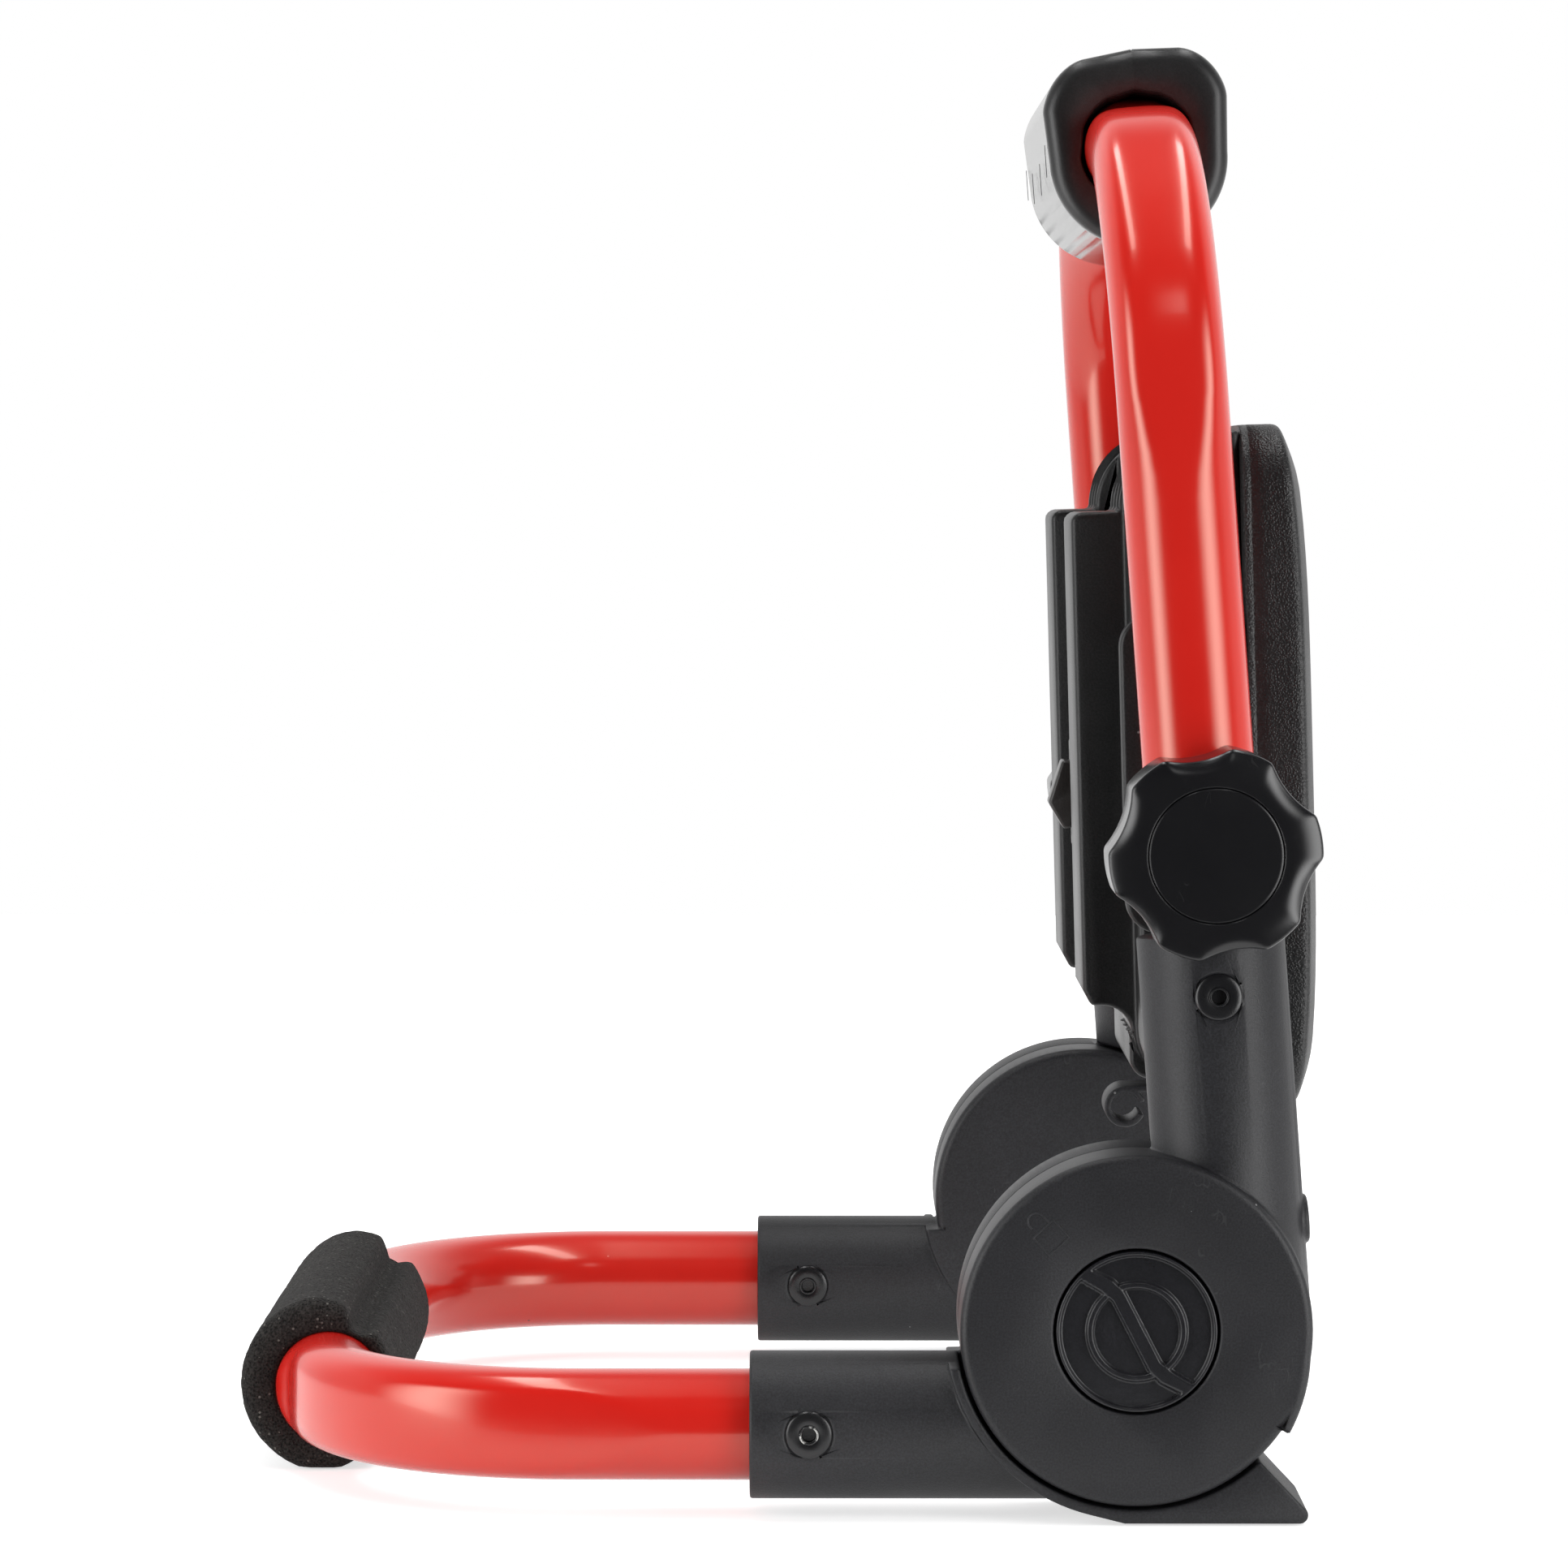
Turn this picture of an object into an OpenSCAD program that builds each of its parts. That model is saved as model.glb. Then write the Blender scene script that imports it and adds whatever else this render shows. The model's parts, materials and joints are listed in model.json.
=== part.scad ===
// Folding floor light: a flood lamp that tilts in a tubular handle frame, which folds
// down on a tubular base frame at two twist-lock hinges.
// X points where the light shines, Z up, and the origin lies on the ground under the middle.

/* [Tube frames] */
// Outside diameter of the steel tube
tube_d = 20; // [18:0.5:22]
// Wall of the steel tube
tube_wall = 1.5; // [1:0.1:2.5]
// Distance between the two legs of a frame, axis to axis
frame_w = 200; // [190:1:240]
// Bend radius of the tube corners, at the tube axis
bend_r = 48; // [40:1:52]
// From the fold axis to the cross tube of the base frame
base_reach = 148; // [145:0.1:170]
// From the fold axis to the cross tube of the handle frame
handle_rise = 211.5; // [205:0.5:240]
// Lean of the handle frame away from the light, in degrees
lean = 4.2; // [0:0.1:8]

/* [Foam and grip] */
// Wall of the foam sleeve
foam_wall = 5.7; // [5:0.1:9]
// Bare tube between the foam and the start of each bend
foam_inset = 1; // [0:0.5:15]
// From the tube axis to the thinner inner side of the foam
foam_in = 12.4; // [12:0.1:15]
// Foam left under the groove along the sleeve
foam_web = 1.1; // [0.8:0.1:2]
// Width of the groove along the sleeve
groove_w = 3.2; // [2:0.1:4]
// Width of the grip's section
grip_w = 34.4; // [32:0.1:38]
// Height of the grip's section
grip_h = 36.6; // [35:0.1:42]
// Upper corner radius of the grip's section
grip_round = 9.5; // [7:0.1:11]
// Diameter of the grip screws
grip_screw_d = 3; // [2.5:0.1:3.5]

/* [Hinges] */
// Radius of the hinge discs
disc_r = 31.3; // [29:0.1:34]
// Thickness of the outer disc, which carries the dial
outer_t = 15; // [14:0.1:18]
// Thickness of the inner disc
inner_t = 14; // [13:0.1:16]
// Rounding of the disc rims
rim_round = 1.6; // [0.5:0.1:2.5]
// Gap between the two discs of a hinge
hinge_gap = 0.3; // [0.2:0.05:0.6]
// Gap between a disc and the wall that wraps it
arc_clear = 0.7; // [0.5:0.1:1.5]
// Thickness of the wall that wraps a disc
cradle_wall = 1.9; // [1.6:0.1:2.4]
// Offset of each tube axis from the fold axis
tube_offset = 18.75; // [17:0.05:20]
// Wall of the tube sockets
socket_wall = 3.25; // [2.5:0.05:3.5]
// From the fold axis to the open end of a socket
socket_reach = 68.7; // [62:0.1:70]
// From the open end of a socket to its rivet
rivet_inset = 10.6; // [8:0.1:14]
// Diameter of the rivets
rivet_d = 4.8; // [4:0.1:5.5]
// Diameter of the rivet heads
rivet_head_d = 8; // [7:0.1:9]
// Length of the flat foot in front of the fold axis
foot_reach = 30.6; // [26:0.1:32]
// Angle of the stop face on the foot, below the horizontal
foot_stop = 46.6; // [46:0.1:50]
// Angle of the stop lug on the handle half, below its own horizontal
lug_low = 38.3; // [34:0.1:38.5]

/* [Twist lock] */
// Diameter of the dial
dial_d = 28.6; // [26:0.1:32]
// Depth of the dial
dial_t = 4.2; // [3.8:0.1:5]
// Gap round the dial
dial_gap = 0.5; // [0.3:0.05:0.8]
// Web under the dial
web_t = 2.2; // [1.8:0.1:3]
// Radius of the lock ring without its teeth
ring_r = 20.5; // [18:0.1:22]
// Height of the teeth
tooth_h = 2; // [1.5:0.1:2.5]
// Positions in a full turn at which the lock ring engages
lock_steps = 30; // [30:15:60]
// Teeth on the lock ring
ring_teeth = 6; // [3:3:6]
// Travel of the lock ring
ring_travel = 3.6; // [2.5:0.1:4]
// Turn of the dial from open to locked, in degrees
dial_turn = 60; // [40:1:60]
// Diameter of the hinge axle
axle_d = 8; // [6:0.1:9]
// Width of the axle nut across its flats
nut_w = 13; // [11:0.1:15]
// Thickness of the axle nut
nut_t = 5; // [4:0.1:6]

/* [Lamp pivot] */
// From the end of the handle's sockets to the tilt axis
pivot_gap = 15.8; // [12:0.1:24]
// Lean of the lamp away from its light, in degrees
lamp_lean = 1.6; // [0:0.1:6]
// Diameter of the knobs
knob_d = 37.4; // [34:0.1:44]
// Height of the knobs
knob_h = 20.5; // [16:0.5:24]
// Depth of the scallops round a knob
scallop = 2; // [1:0.1:3]
// Diameter of the cap in a knob
cap_d = 23.5; // [20:0.1:26]
// Diameter of the threaded stud in a knob
stud_d = 6; // [5:0.1:8]
// Diameter of the saddle washers on the tube
saddle_d = 17; // [15:0.5:18]

/* [Lamp] */
// Height of the front frame
lamp_h = 125; // [115:0.5:140]
// Height of the middle of the lamp above its tilt axis
lamp_up = 12.4; // [10:0.1:18]
// Gap between the side plates and the hinges
lamp_gap = 2.1; // [1:0.1:4]
// Thickness of the side plates
side_t = 5.9; // [4.5:0.1:7]
// Front of the lamp, ahead of its tilt axis
lamp_front = 22.2; // [20:0.1:25]
// Thickness of the front frame
bezel_t = 12.6; // [10:0.1:13]
// Corner radius of the front frame
bezel_round = 12; // [8:0.5:16]
// Width of the bars of the front frame
bezel_bar = 14; // [12:0.5:20]
// Thickness of the front glass
glass_t = 3; // [2:0.1:4]
// Back wall of the housing, behind the tilt axis
back_x = 10.5; // [9:0.1:12]
// Wall of the housing
cast_wall = 3; // [2:0.1:3.5]
// Rounding of the top and bottom edges of the back
back_round = 13; // [8:0.5:14]
// How far the cooling fins stand proud
fin_proud = 1.1; // [0.6:0.1:2]
// Thickness of a cooling fin
fin_t = 2; // [1.5:0.1:3]
// Cooling fins on each rear block
fin_count = 4; // [2:1:5]
// Rear of the two blocks, behind the tilt axis
block_x = 20.5; // [20:0.1:24]
// Inner side of a block, from the middle of the lamp
block_in = 28; // [26:0.5:30]
// Width of a block
block_w = 32; // [30:0.5:36]
// Bottom of the blocks, below the tilt axis
block_low = 32; // [29:0.5:34]
// Top of the blocks, above the tilt axis
block_high = 59.6; // [54:0.1:61]

/* [Lamp insides] */
// Diameter of a battery cell
cell_d = 18.4; // [18:0.1:19]
// Length of a battery cell
cell_l = 65; // [60:0.5:68]
// Columns of light chips
chip_cols = 8; // [4:1:10]
// Rows of light chips
chip_rows = 5; // [3:1:6]
// Size of a light chip
chip_w = 5; // [3:0.1:6]
// Height of the switch bezel
switch_h = 21; // [19:0.1:22]
// Width of the switch bezel
switch_w = 15; // [13:0.1:16]
// Middle of the switch above the tilt axis
switch_up = 4.5; // [3:0.1:8]
// Outside diameter of the cord clip
clip_d = 8; // [7:0.1:10]
// Wall of the cord clip
clip_wall = 1.2; // [0.8:0.1:1.6]
// Length of the cord clip
clip_l = 12; // [8:0.5:16]

/* [Hidden] */
$fn = 64;
// Clearances
fit = 0.1;
press = 0.05;
run = 0.06;
body_gap = 0.3;

// Tube frames
tube_r = tube_d / 2;
foam_r = tube_r + foam_wall;
foam_shift = foam_r - foam_in;
foam_turn = 62;
hinge_z = foam_r + tube_offset;
half_w = frame_w / 2;
straight = frame_w - 2 * bend_r;
socket_d = tube_d + 2 * socket_wall;
socket_r = socket_d / 2;
tube_end = disc_r + arc_clear + cradle_wall + 2;
rivet_at = socket_reach - rivet_inset;
rivet_seat = socket_r - 0.65;
rivet_dome = 1.4;

// Hinges
cradle_in = disc_r + arc_clear;
cradle_r = cradle_in + cradle_wall;
tab_rise = -1.2;
tab_top = socket_r - tube_offset + tab_rise;
lug_shift = 3.5;
lug_way = 100;
foot_edge = 0.9;
foot_tip = min(foot_reach, (hinge_z - 2 * foot_edge) / tan(foot_stop));
cradle_proud = 0.5;
pad_d = 8.5;
pad_at = 16.2;
pad_proud = 0.65;
foot_blend = 14;

// Twist lock, in heights above the parting plane of a hinge
dial_r = dial_d / 2;
dial_floor = outer_t - dial_t - body_gap;
pocket_top = dial_floor - web_t;
ring_low = 0.8;
ring_t = pocket_top - body_gap - ring_low;
lock_depth = ring_travel - ring_low + body_gap + 0.5;
tooth_tip = ring_r + tooth_h;
tooth_play = 0.25;
axle_head_d = axle_d + 5;
axle_head_t = 1.8;
nut_z = -inner_t + 3;
slot_in = 8.7;
slot_out = 12.3;
lug_span = 24;
dish = 1;
ridge_half = [[-10.4, 9.4], [-6.6, 7.2], [-4.3, 5.4], [2.2, -7.2], [4.2, -9.2], [8.2, -11.2]];

// Grip
grip_l = straight - 1;
grip_screw_head = 5;
grip_screw_head_t = 1.8;
grip_screw_tail = 6;
grip_screw_low = tube_r + 3.6;

// Pivot, in heights above the plane of the tubes
pivot_rise = socket_reach + pivot_gap;
saddle_top = socket_r - 0.9;
hub_low = saddle_top + body_gap;
knob_back = socket_r + 0.4;
knob_front = knob_back + knob_h;
knob_edge = 3;
knob_lobes = 6;
knob_turned = 36;
cap_t = 2;
cap_edge = 0.4;
stud_in_knob = knob_h - 5;

// Lamp, measured from its tilt axis
side_y = half_w - inner_t - lamp_gap;
cast_y = side_y - side_t;
bezel_y = side_y - 0.9;
bezel_back = lamp_front - bezel_t;
lamp_low = lamp_up - lamp_h / 2;
lamp_top = lamp_up + lamp_h / 2;
cast_low = lamp_low + 1;
cast_top = lamp_top - 1;
bay_round = 4;
bay_x = 6.5;
bay_low = 54;
lip_t = 2.8;
rebate = 4.5;
window_y = bezel_y - bezel_bar;
window_z = lamp_h / 2 - bezel_bar;
gasket_t = 0.8;
glass_front = lamp_front - lip_t - gasket_t;
glass_back = glass_front - glass_t;
plate_back = 0.6;
plate_t = 3;
plate_web = 1.2;
plate_round = 2;
board_t = 1.6;
board_back = plate_back + plate_t;
chip_back = board_back + board_t;
chip_t = 0.8;
board_side = 8;
board_end = 6;
board_y = window_y - board_side;
board_z = window_z - board_end;
plate_rim = 3;
window_round = 4;
rebate_round = 5;
reflector_t = 1.2;
pillar_r = 5;
pillar_side = 6.5;
pillar_y = cast_y - pillar_side;
pillar_top = cast_top - pillar_r;
pillar_low = cast_low + pillar_r;
screw_d = 4;
screw_head_d = 7;
screw_head_t = 2.5;
screw_grip = 5.5;
screw_seat = 3;
plate_screw_d = 3;
plate_screw_l = 5.5;
plate_head_d = 5.6;
post_r = 3.5;
post_inset = 4;
post_y = board_y + plate_rim - post_inset;
post_z = board_z + plate_rim - post_inset;
post_low = lamp_up - post_z;
post_top = lamp_up + post_z;
boss_r = 8;
bush_d = 12;
bush_l = 12;
boss_in = side_y - bush_l - 2;
side_rear = 13.3;
side_ahead = 8;
side_low = 17;
side_high = 41;
side_round = 6;
cell_wall = 2;
cell_room = cell_d + 2 * body_gap;
cell_y = block_in + block_w / 2;
cell_x = -(block_x - cell_wall - cell_d / 2 - body_gap);
cell_low = -20;
cell_tip = 1.2;
box_y = 13;
box_x = block_x - 2.4;
box_low = -22;
box_top = switch_up + switch_h / 2 + 2;
jack_up = -13;
jack_d = 8;
driver_x = -back_x + cast_wall + 4;
driver_w = 40;
driver_h = 26;
driver_up = 12;
coil_t = 3;
switch_depth = 11;
switch_rim = 1;
switch_inset = 1;
rocker_wall = 2.5;
rocker_room = 6;
rocker_end = 0.9;
rocker_proud = 5.7;
rocker_in = 2.2;
rocker_axis = 1;
rocker_pin_d = 2;
rocker_pin_in = 0.8;
jack_l = 9;
jack_bore = 5.5;
jack_bore_l = 7;
cover_t = 0.6;
cover_rim = 1.5;
clip_x = -back_x;
clip_drop = 3.5;
clip_z = cast_low - clip_drop - clip_d / 2;
clip_stem = clip_x + bay_round + 2 * clip_wall;
clip_seat = 1.5;

// The box's middle lies over the origin
pivot_x = tube_offset * cos(lean) - pivot_rise * sin(lean);
front_reach = pivot_x + lamp_front * cos(lamp_lean) - lamp_low * sin(lamp_lean);
hinge_x = (base_reach + foam_r - front_reach) / 2;

red = "#d0201c";
black = "#232427";
coal = "#1b1c1e";
steel = "#b8bcc2";

// Places: the base frame, the handle frame and the lamp each have their own axes
module at_fold() {
    translate([hinge_x, 0, hinge_z]) children();
}

module on_handle() {
    at_fold() rotate([0, -lean, 0]) children();
}

module on_lamp() {
    on_handle()
        translate([tube_offset, 0, pivot_rise])
            rotate([0, lean - lamp_lean, 0]) children();
}

// A side's own axes: x forwards, y up, z outwards from the plane of the tubes
module right_side() {
    translate([0, -half_w, 0]) rotate([90, 0, 0]) children();
}

module left_side() {
    mirror([0, 1, 0]) right_side() children();
}

// Shapes that repeat
module u_rod(d, reach, start) {
    leg = reach - bend_r - start;
    corner_y = half_w - bend_r;
    for (side = [-1, 1]) {
        translate([-start, side * half_w, 0]) rotate([0, -90, 0]) cylinder(d = d, h = leg);
        translate([bend_r - reach, side * corner_y, 0])
            rotate([0, 0, 135 - side * 45])
                rotate_extrude(angle = 90) translate([bend_r, 0]) circle(d = d);
    }
    translate([-reach, -corner_y, 0]) rotate([-90, 0, 0]) cylinder(d = d, h = 2 * corner_y);
}

module u_tube(reach) {
    difference() {
        u_rod(tube_d, reach, tube_end);
        u_rod(tube_d - 2 * tube_wall, reach, tube_end - 1);
    }
}

module disc(r, t, edge) {
    rotate_extrude() {
        square([r - edge, t]);
        square([r, t - edge]);
        translate([r - edge, t - edge]) circle(r = edge);
    }
}

module ring_sector(r_in, r_out, t, from, span) {
    rotate([0, 0, from])
        rotate_extrude(angle = span) translate([r_in, 0]) square([r_out - r_in, t]);
}

module rounded_rect(half_x, half_y, r) {
    square([2 * half_x, 2 * (half_y - r)], center = true);
    square([2 * (half_x - r), 2 * half_y], center = true);
    for (sx = [-1, 1], sy = [-1, 1])
        translate([sx * (half_x - r), sy * (half_y - r)]) circle(r = r);
}

// A plate across the lamp: half_y wide, half_z high, from x0 to x1, round the lamp's middle
module lamp_plate(x0, x1, half_y, half_z, r) {
    translate([x0, 0, lamp_up])
        rotate([90, 0, 90]) linear_extrude(x1 - x0) rounded_rect(half_y, half_z, r);
}

module rivet() {
    reach = rivet_seat + rivet_dome;
    cap_r = (pow(rivet_head_d / 2, 2) + pow(rivet_dome, 2)) / (2 * rivet_dome);
    difference() {
        union() {
            cylinder(d = rivet_d, h = 2 * rivet_seat, center = true);
            for (flip = [0, 1]) mirror([0, 0, flip]) intersection() {
                translate([0, 0, reach - cap_r]) sphere(r = cap_r);
                translate([0, 0, rivet_seat]) cylinder(d = rivet_head_d, h = rivet_dome);
            }
        }
        for (flip = [0, 1]) mirror([0, 0, flip])
            translate([0, 0, rivet_seat - 3]) cylinder(d = rivet_d / 2, h = 6);
    }
}

module rivet_holes() {
    cylinder(d = rivet_d + 2 * fit, h = 2 * socket_d, center = true);
    for (flip = [0, 1]) mirror([0, 0, flip])
        translate([0, 0, rivet_seat]) cylinder(d = rivet_head_d + 0.6, h = socket_d);
}

module teeth(count, r_root, r_tip, t, play) {
    root = asin((1.2 + play) / r_root);
    tip = asin((0.7 + play) / r_tip);
    for (i = [0 : count - 1])
        rotate([0, 0, i * 360 / count])
            linear_extrude(t) polygon([
                [0, 0],
                (r_root - 1) * [cos(root), -sin(root)],
                r_root * [cos(root), -sin(root)],
                r_tip * [cos(tip), -sin(tip)],
                r_tip * [cos(tip), sin(tip)],
                r_root * [cos(root), sin(root)],
                (r_root - 1) * [cos(root), sin(root)]
            ]);
}

// Base frame
module base_tube() {
    color(red) difference() {
        at_fold() translate([0, 0, -tube_offset]) u_tube(base_reach);
        base_rivet_places() cylinder(d = rivet_d + 2 * fit, h = socket_d, center = true);
    }
}

module base_rivet_places() {
    at_fold() for (flip = [0, 1]) mirror([0, flip, 0])
        right_side() translate([-rivet_at, -tube_offset, 0]) children();
}

module base_foam_sleeve() {
    length = straight - 2 * foam_inset;
    drop = foam_r - sqrt(pow(foam_r, 2) - pow(foam_shift, 2));
    color(coal)
        translate([hinge_x - base_reach, length / 2, foam_r])
            rotate([90, 0, 0]) linear_extrude(length) difference() {
                intersection() {
                    circle(r = foam_r);
                    translate([-foam_shift, -drop]) circle(r = foam_r);
                }
                circle(r = tube_r + fit);
                rotate(foam_turn) translate([tube_r + foam_web + groove_w / 2, 0]) {
                    circle(d = groove_w);
                    polygon([[0, -groove_w / 2], [foam_wall, -groove_w],
                             [foam_wall, groove_w], [0, groove_w / 2]]);
                }
            }
}

module cradle_outline() {
    stop = [cos(foot_stop), -sin(foot_stop)];
    blend = -cradle_r * [sin(foot_blend), cos(foot_blend)];
    intersection() {
        union() {
            intersection() {
                circle(r = cradle_r);
                translate([-cradle_r, tab_top - cradle_r]) square(cradle_r);
            }
            polygon([
                blend,
                [blend[0] + (hinge_z + blend[1]) / tan(foot_blend), -hinge_z],
                [foot_tip - foot_edge, -hinge_z],
                [foot_tip, -hinge_z + foot_edge],
                foot_tip / stop[0] * stop,
                disc_r / 2 * stop,
                [blend[0], -disc_r / 2]
            ]);
        }
        translate([-cradle_r, -hinge_z]) square([3 * cradle_r, hinge_z]);
    }
}

module hinge_lower() {
    color(black) difference() {
        union() {
            difference() {
                union() {
                    translate([-socket_reach, -tube_offset, 0])
                        rotate([0, 90, 0]) cylinder(d = socket_d, h = socket_reach);
                    translate([0, 0, -inner_t])
                        linear_extrude(inner_t + socket_r + cradle_proud) cradle_outline();
                }
                translate([0, 0, -hinge_gap / 2]) cylinder(r = cradle_in, h = socket_d);
            }
            translate([0, 0, -hinge_gap / 2])
                mirror([0, 0, 1]) disc(disc_r, inner_t - hinge_gap / 2, rim_round);
        }
        translate([-socket_reach - 1, -tube_offset, 0])
            rotate([0, 90, 0]) cylinder(d = tube_d + 2 * fit, h = socket_reach + 1 - tube_end);
        translate([-rivet_at, -tube_offset, 0]) rivet_holes();
        translate([0, 0, -lock_depth]) {
            cylinder(r = ring_r + tooth_play, h = lock_depth);
            rotate([0, 0, lean])
                teeth(lock_steps, ring_r + tooth_play, tooth_tip + tooth_play, lock_depth, tooth_play);
        }
        translate([0, 0, nut_z - fit]) {
            cylinder(d = (nut_w + 2 * press) / cos(30), h = nut_t + 2 * fit, $fn = 6);
            cylinder(d = axle_d + 2 * press, h = inner_t);
        }
    }
}

module hinge_lower_right() {
    at_fold() right_side() hinge_lower();
}

module hinge_lower_left() {
    at_fold() left_side() hinge_lower();
}

module base_rivets() {
    color(black) base_rivet_places() rivet();
}

module axle_places() {
    at_fold() for (flip = [0, 1]) mirror([0, flip, 0]) right_side() children();
}

module hinge_axles() {
    head_z = dial_floor + body_gap / 2;
    color(steel) axle_places() {
        translate([0, 0, nut_z]) cylinder(d = axle_d, h = head_z - nut_z);
        translate([0, 0, head_z]) cylinder(d = axle_head_d, h = axle_head_t);
    }
}

module axle_nuts() {
    color(steel) axle_places() translate([0, 0, nut_z]) difference() {
        cylinder(d = nut_w / cos(30), h = nut_t, $fn = 6);
        translate([0, 0, -1]) cylinder(d = axle_d + 2 * press, h = nut_t + 2);
    }
}

// Handle frame
module stop_lug() {
    intersection() {
        translate(lug_shift * [cos(lug_way), -sin(lug_way), 0])
            disc(disc_r, outer_t - hinge_gap / 2, rim_round);
        linear_extrude(outer_t)
            polygon([[0, 0], 2 * disc_r * [cos(lug_low), -sin(lug_low)], [2 * disc_r, 0]]);
    }
}

module hinge_upper() {
    color(black) difference() {
        union() {
            difference() {
                union() {
                    translate([tube_offset, 0, 0])
                        rotate([-90, 0, 0]) cylinder(d = socket_d, h = socket_reach);
                    translate([tube_offset, pad_at, 0])
                        rotate([0, 90, 0]) cylinder(d = pad_d, h = socket_r + pad_proud);
                }
                translate([0, 0, hinge_gap / 2 - socket_d]) cylinder(r = cradle_in, h = socket_d);
            }
            translate([0, 0, hinge_gap / 2]) {
                disc(disc_r, outer_t - hinge_gap / 2, rim_round);
                stop_lug();
            }
        }
        translate([tube_offset, tube_end, 0])
            rotate([-90, 0, 0]) cylinder(d = tube_d + 2 * fit, h = socket_reach);
        translate([tube_offset, rivet_at, 0]) rivet_holes();
        translate([0, 0, dial_floor]) cylinder(r = dial_r + dial_gap, h = outer_t);
        cylinder(d = axle_d + 2 * run, h = outer_t);
        cylinder(r = ring_r + tooth_play, h = pocket_top);
        teeth(ring_teeth, ring_r + tooth_play, tooth_tip + tooth_play, pocket_top, tooth_play);
        for (i = [0, 1])
            ring_sector(slot_in, slot_out, outer_t, i * 180 - 2, lug_span + dial_turn + 4);
    }
}

module hinge_upper_right() {
    on_handle() right_side() hinge_upper();
}

module hinge_upper_left() {
    on_handle() left_side() hinge_upper();
}

module lock_ring() {
    color(steel) translate([0, 0, ring_low]) difference() {
        union() {
            cylinder(r = ring_r, h = ring_t);
            teeth(ring_teeth, ring_r, tooth_tip, ring_t, 0);
        }
        translate([0, 0, -1]) cylinder(d = axle_d + 5, h = ring_t + 2);
    }
}

module lock_ring_right() {
    on_handle() right_side() lock_ring();
}

module lock_ring_left() {
    on_handle() left_side() lock_ring();
}

module lock_dial() {
    low = dial_floor + body_gap;
    ring_mid = dial_r * 0.58;
    color(black) {
        difference() {
            translate([0, 0, low]) cylinder(r = dial_r, h = outer_t - low);
            translate([0, 0, low - 1]) cylinder(d = axle_head_d + 1, h = axle_head_t + 1.3);
            translate([0, 0, outer_t - dish]) difference() {
                cylinder(r = dial_r - 0.8, h = outer_t);
                translate([0, 0, -1]) linear_extrude(outer_t) rotate(-lean)
                    polygon(concat(ridge_half, [for (p = ridge_half) -p]));
                translate([0, 0, -1]) difference() {
                    cylinder(r = ring_mid + 0.8, h = outer_t);
                    translate([0, 0, -1]) cylinder(r = ring_mid - 0.8, h = outer_t + 2);
                }
            }
        }
        for (i = [0, 1])
            translate([0, 0, pocket_top])
                ring_sector(slot_in + body_gap, slot_out - body_gap, low - pocket_top + 0.5,
                            i * 180, lug_span);
    }
}

module lock_dial_right() {
    on_handle() right_side() lock_dial();
}

module lock_dial_left() {
    on_handle() left_side() lock_dial();
}

module pivot_places() {
    on_handle() for (flip = [0, 1]) mirror([0, flip, 0])
        right_side() translate([tube_offset, pivot_rise, 0]) children();
}

module handle_rivet_places() {
    on_handle() for (flip = [0, 1]) mirror([0, flip, 0])
        right_side() translate([tube_offset, rivet_at, 0]) children();
}

module handle_tube() {
    color(red) difference() {
        on_handle() translate([tube_offset, 0, 0]) rotate([0, 90, 0]) u_tube(handle_rise);
        handle_rivet_places() cylinder(d = rivet_d + 2 * fit, h = socket_d, center = true);
        pivot_places() cylinder(d = stud_d + 2 * fit, h = socket_d, center = true);
    }
}

module handle_rivets() {
    color(black) handle_rivet_places() rivet();
}

module on_grip() {
    on_handle() translate([tube_offset, grip_l / 2, handle_rise]) rotate([90, 0, 0]) children();
}

module grip_body() {
    corner_x = grip_w / 2 - grip_round;
    corner_y = grip_h / 2 - grip_round;
    low_y = grip_w / 2 - grip_h / 2;
    difference() {
        linear_extrude(grip_l) {
            translate([-grip_w / 2, low_y]) square([grip_w, corner_y - low_y]);
            translate([-corner_x, low_y]) square([2 * corner_x, grip_h / 2 - low_y]);
            for (side = [-1, 1])
                translate([side * corner_x, corner_y]) circle(r = grip_round);
            translate([0, low_y]) circle(d = grip_w);
        }
        translate([0, 0, -1]) cylinder(r = tube_r + fit, h = grip_l + 2);
        grip_screw_places() {
            translate([0, 0, -grip_screw_tail]) cylinder(d = grip_screw_d + 2 * press, h = 2 * grip_w);
            translate([0, 0, grip_screw_head]) cylinder(d = 2 * grip_screw_d, h = grip_w);
        }
    }
}

module grip_screw_places() {
    for (end = [0.2, 0.8])
        translate([0, -grip_screw_low, end * grip_l]) rotate([0, 90, 0]) children();
}

module grip_front_shell() {
    color(black) on_grip() intersection() {
        grip_body();
        translate([press / 2, -grip_h, -1]) cube([grip_w, 2 * grip_h, straight + 2]);
    }
}

module grip_rear_shell() {
    color(black) on_grip() difference() {
        grip_body();
        translate([-press / 2, -grip_h, -1]) cube([grip_w, 2 * grip_h, straight + 2]);
    }
}

module grip_screws() {
    color(steel) on_grip() grip_screw_places() {
        translate([0, 0, -grip_screw_tail])
            cylinder(d = grip_screw_d, h = grip_screw_tail + grip_screw_head);
        translate([0, 0, grip_screw_head]) cylinder(d = 2 * grip_screw_d - 4 * fit, h = grip_screw_head_t);
    }
}

module outer_saddles() {
    color(black) pivot_places() difference() {
        cylinder(d = saddle_d, h = saddle_top);
        rotate([90, 0, 0]) cylinder(r = tube_r + press, h = saddle_d + 2, center = true);
        cylinder(d = stud_d + 2 * fit, h = socket_d);
    }
}

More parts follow.
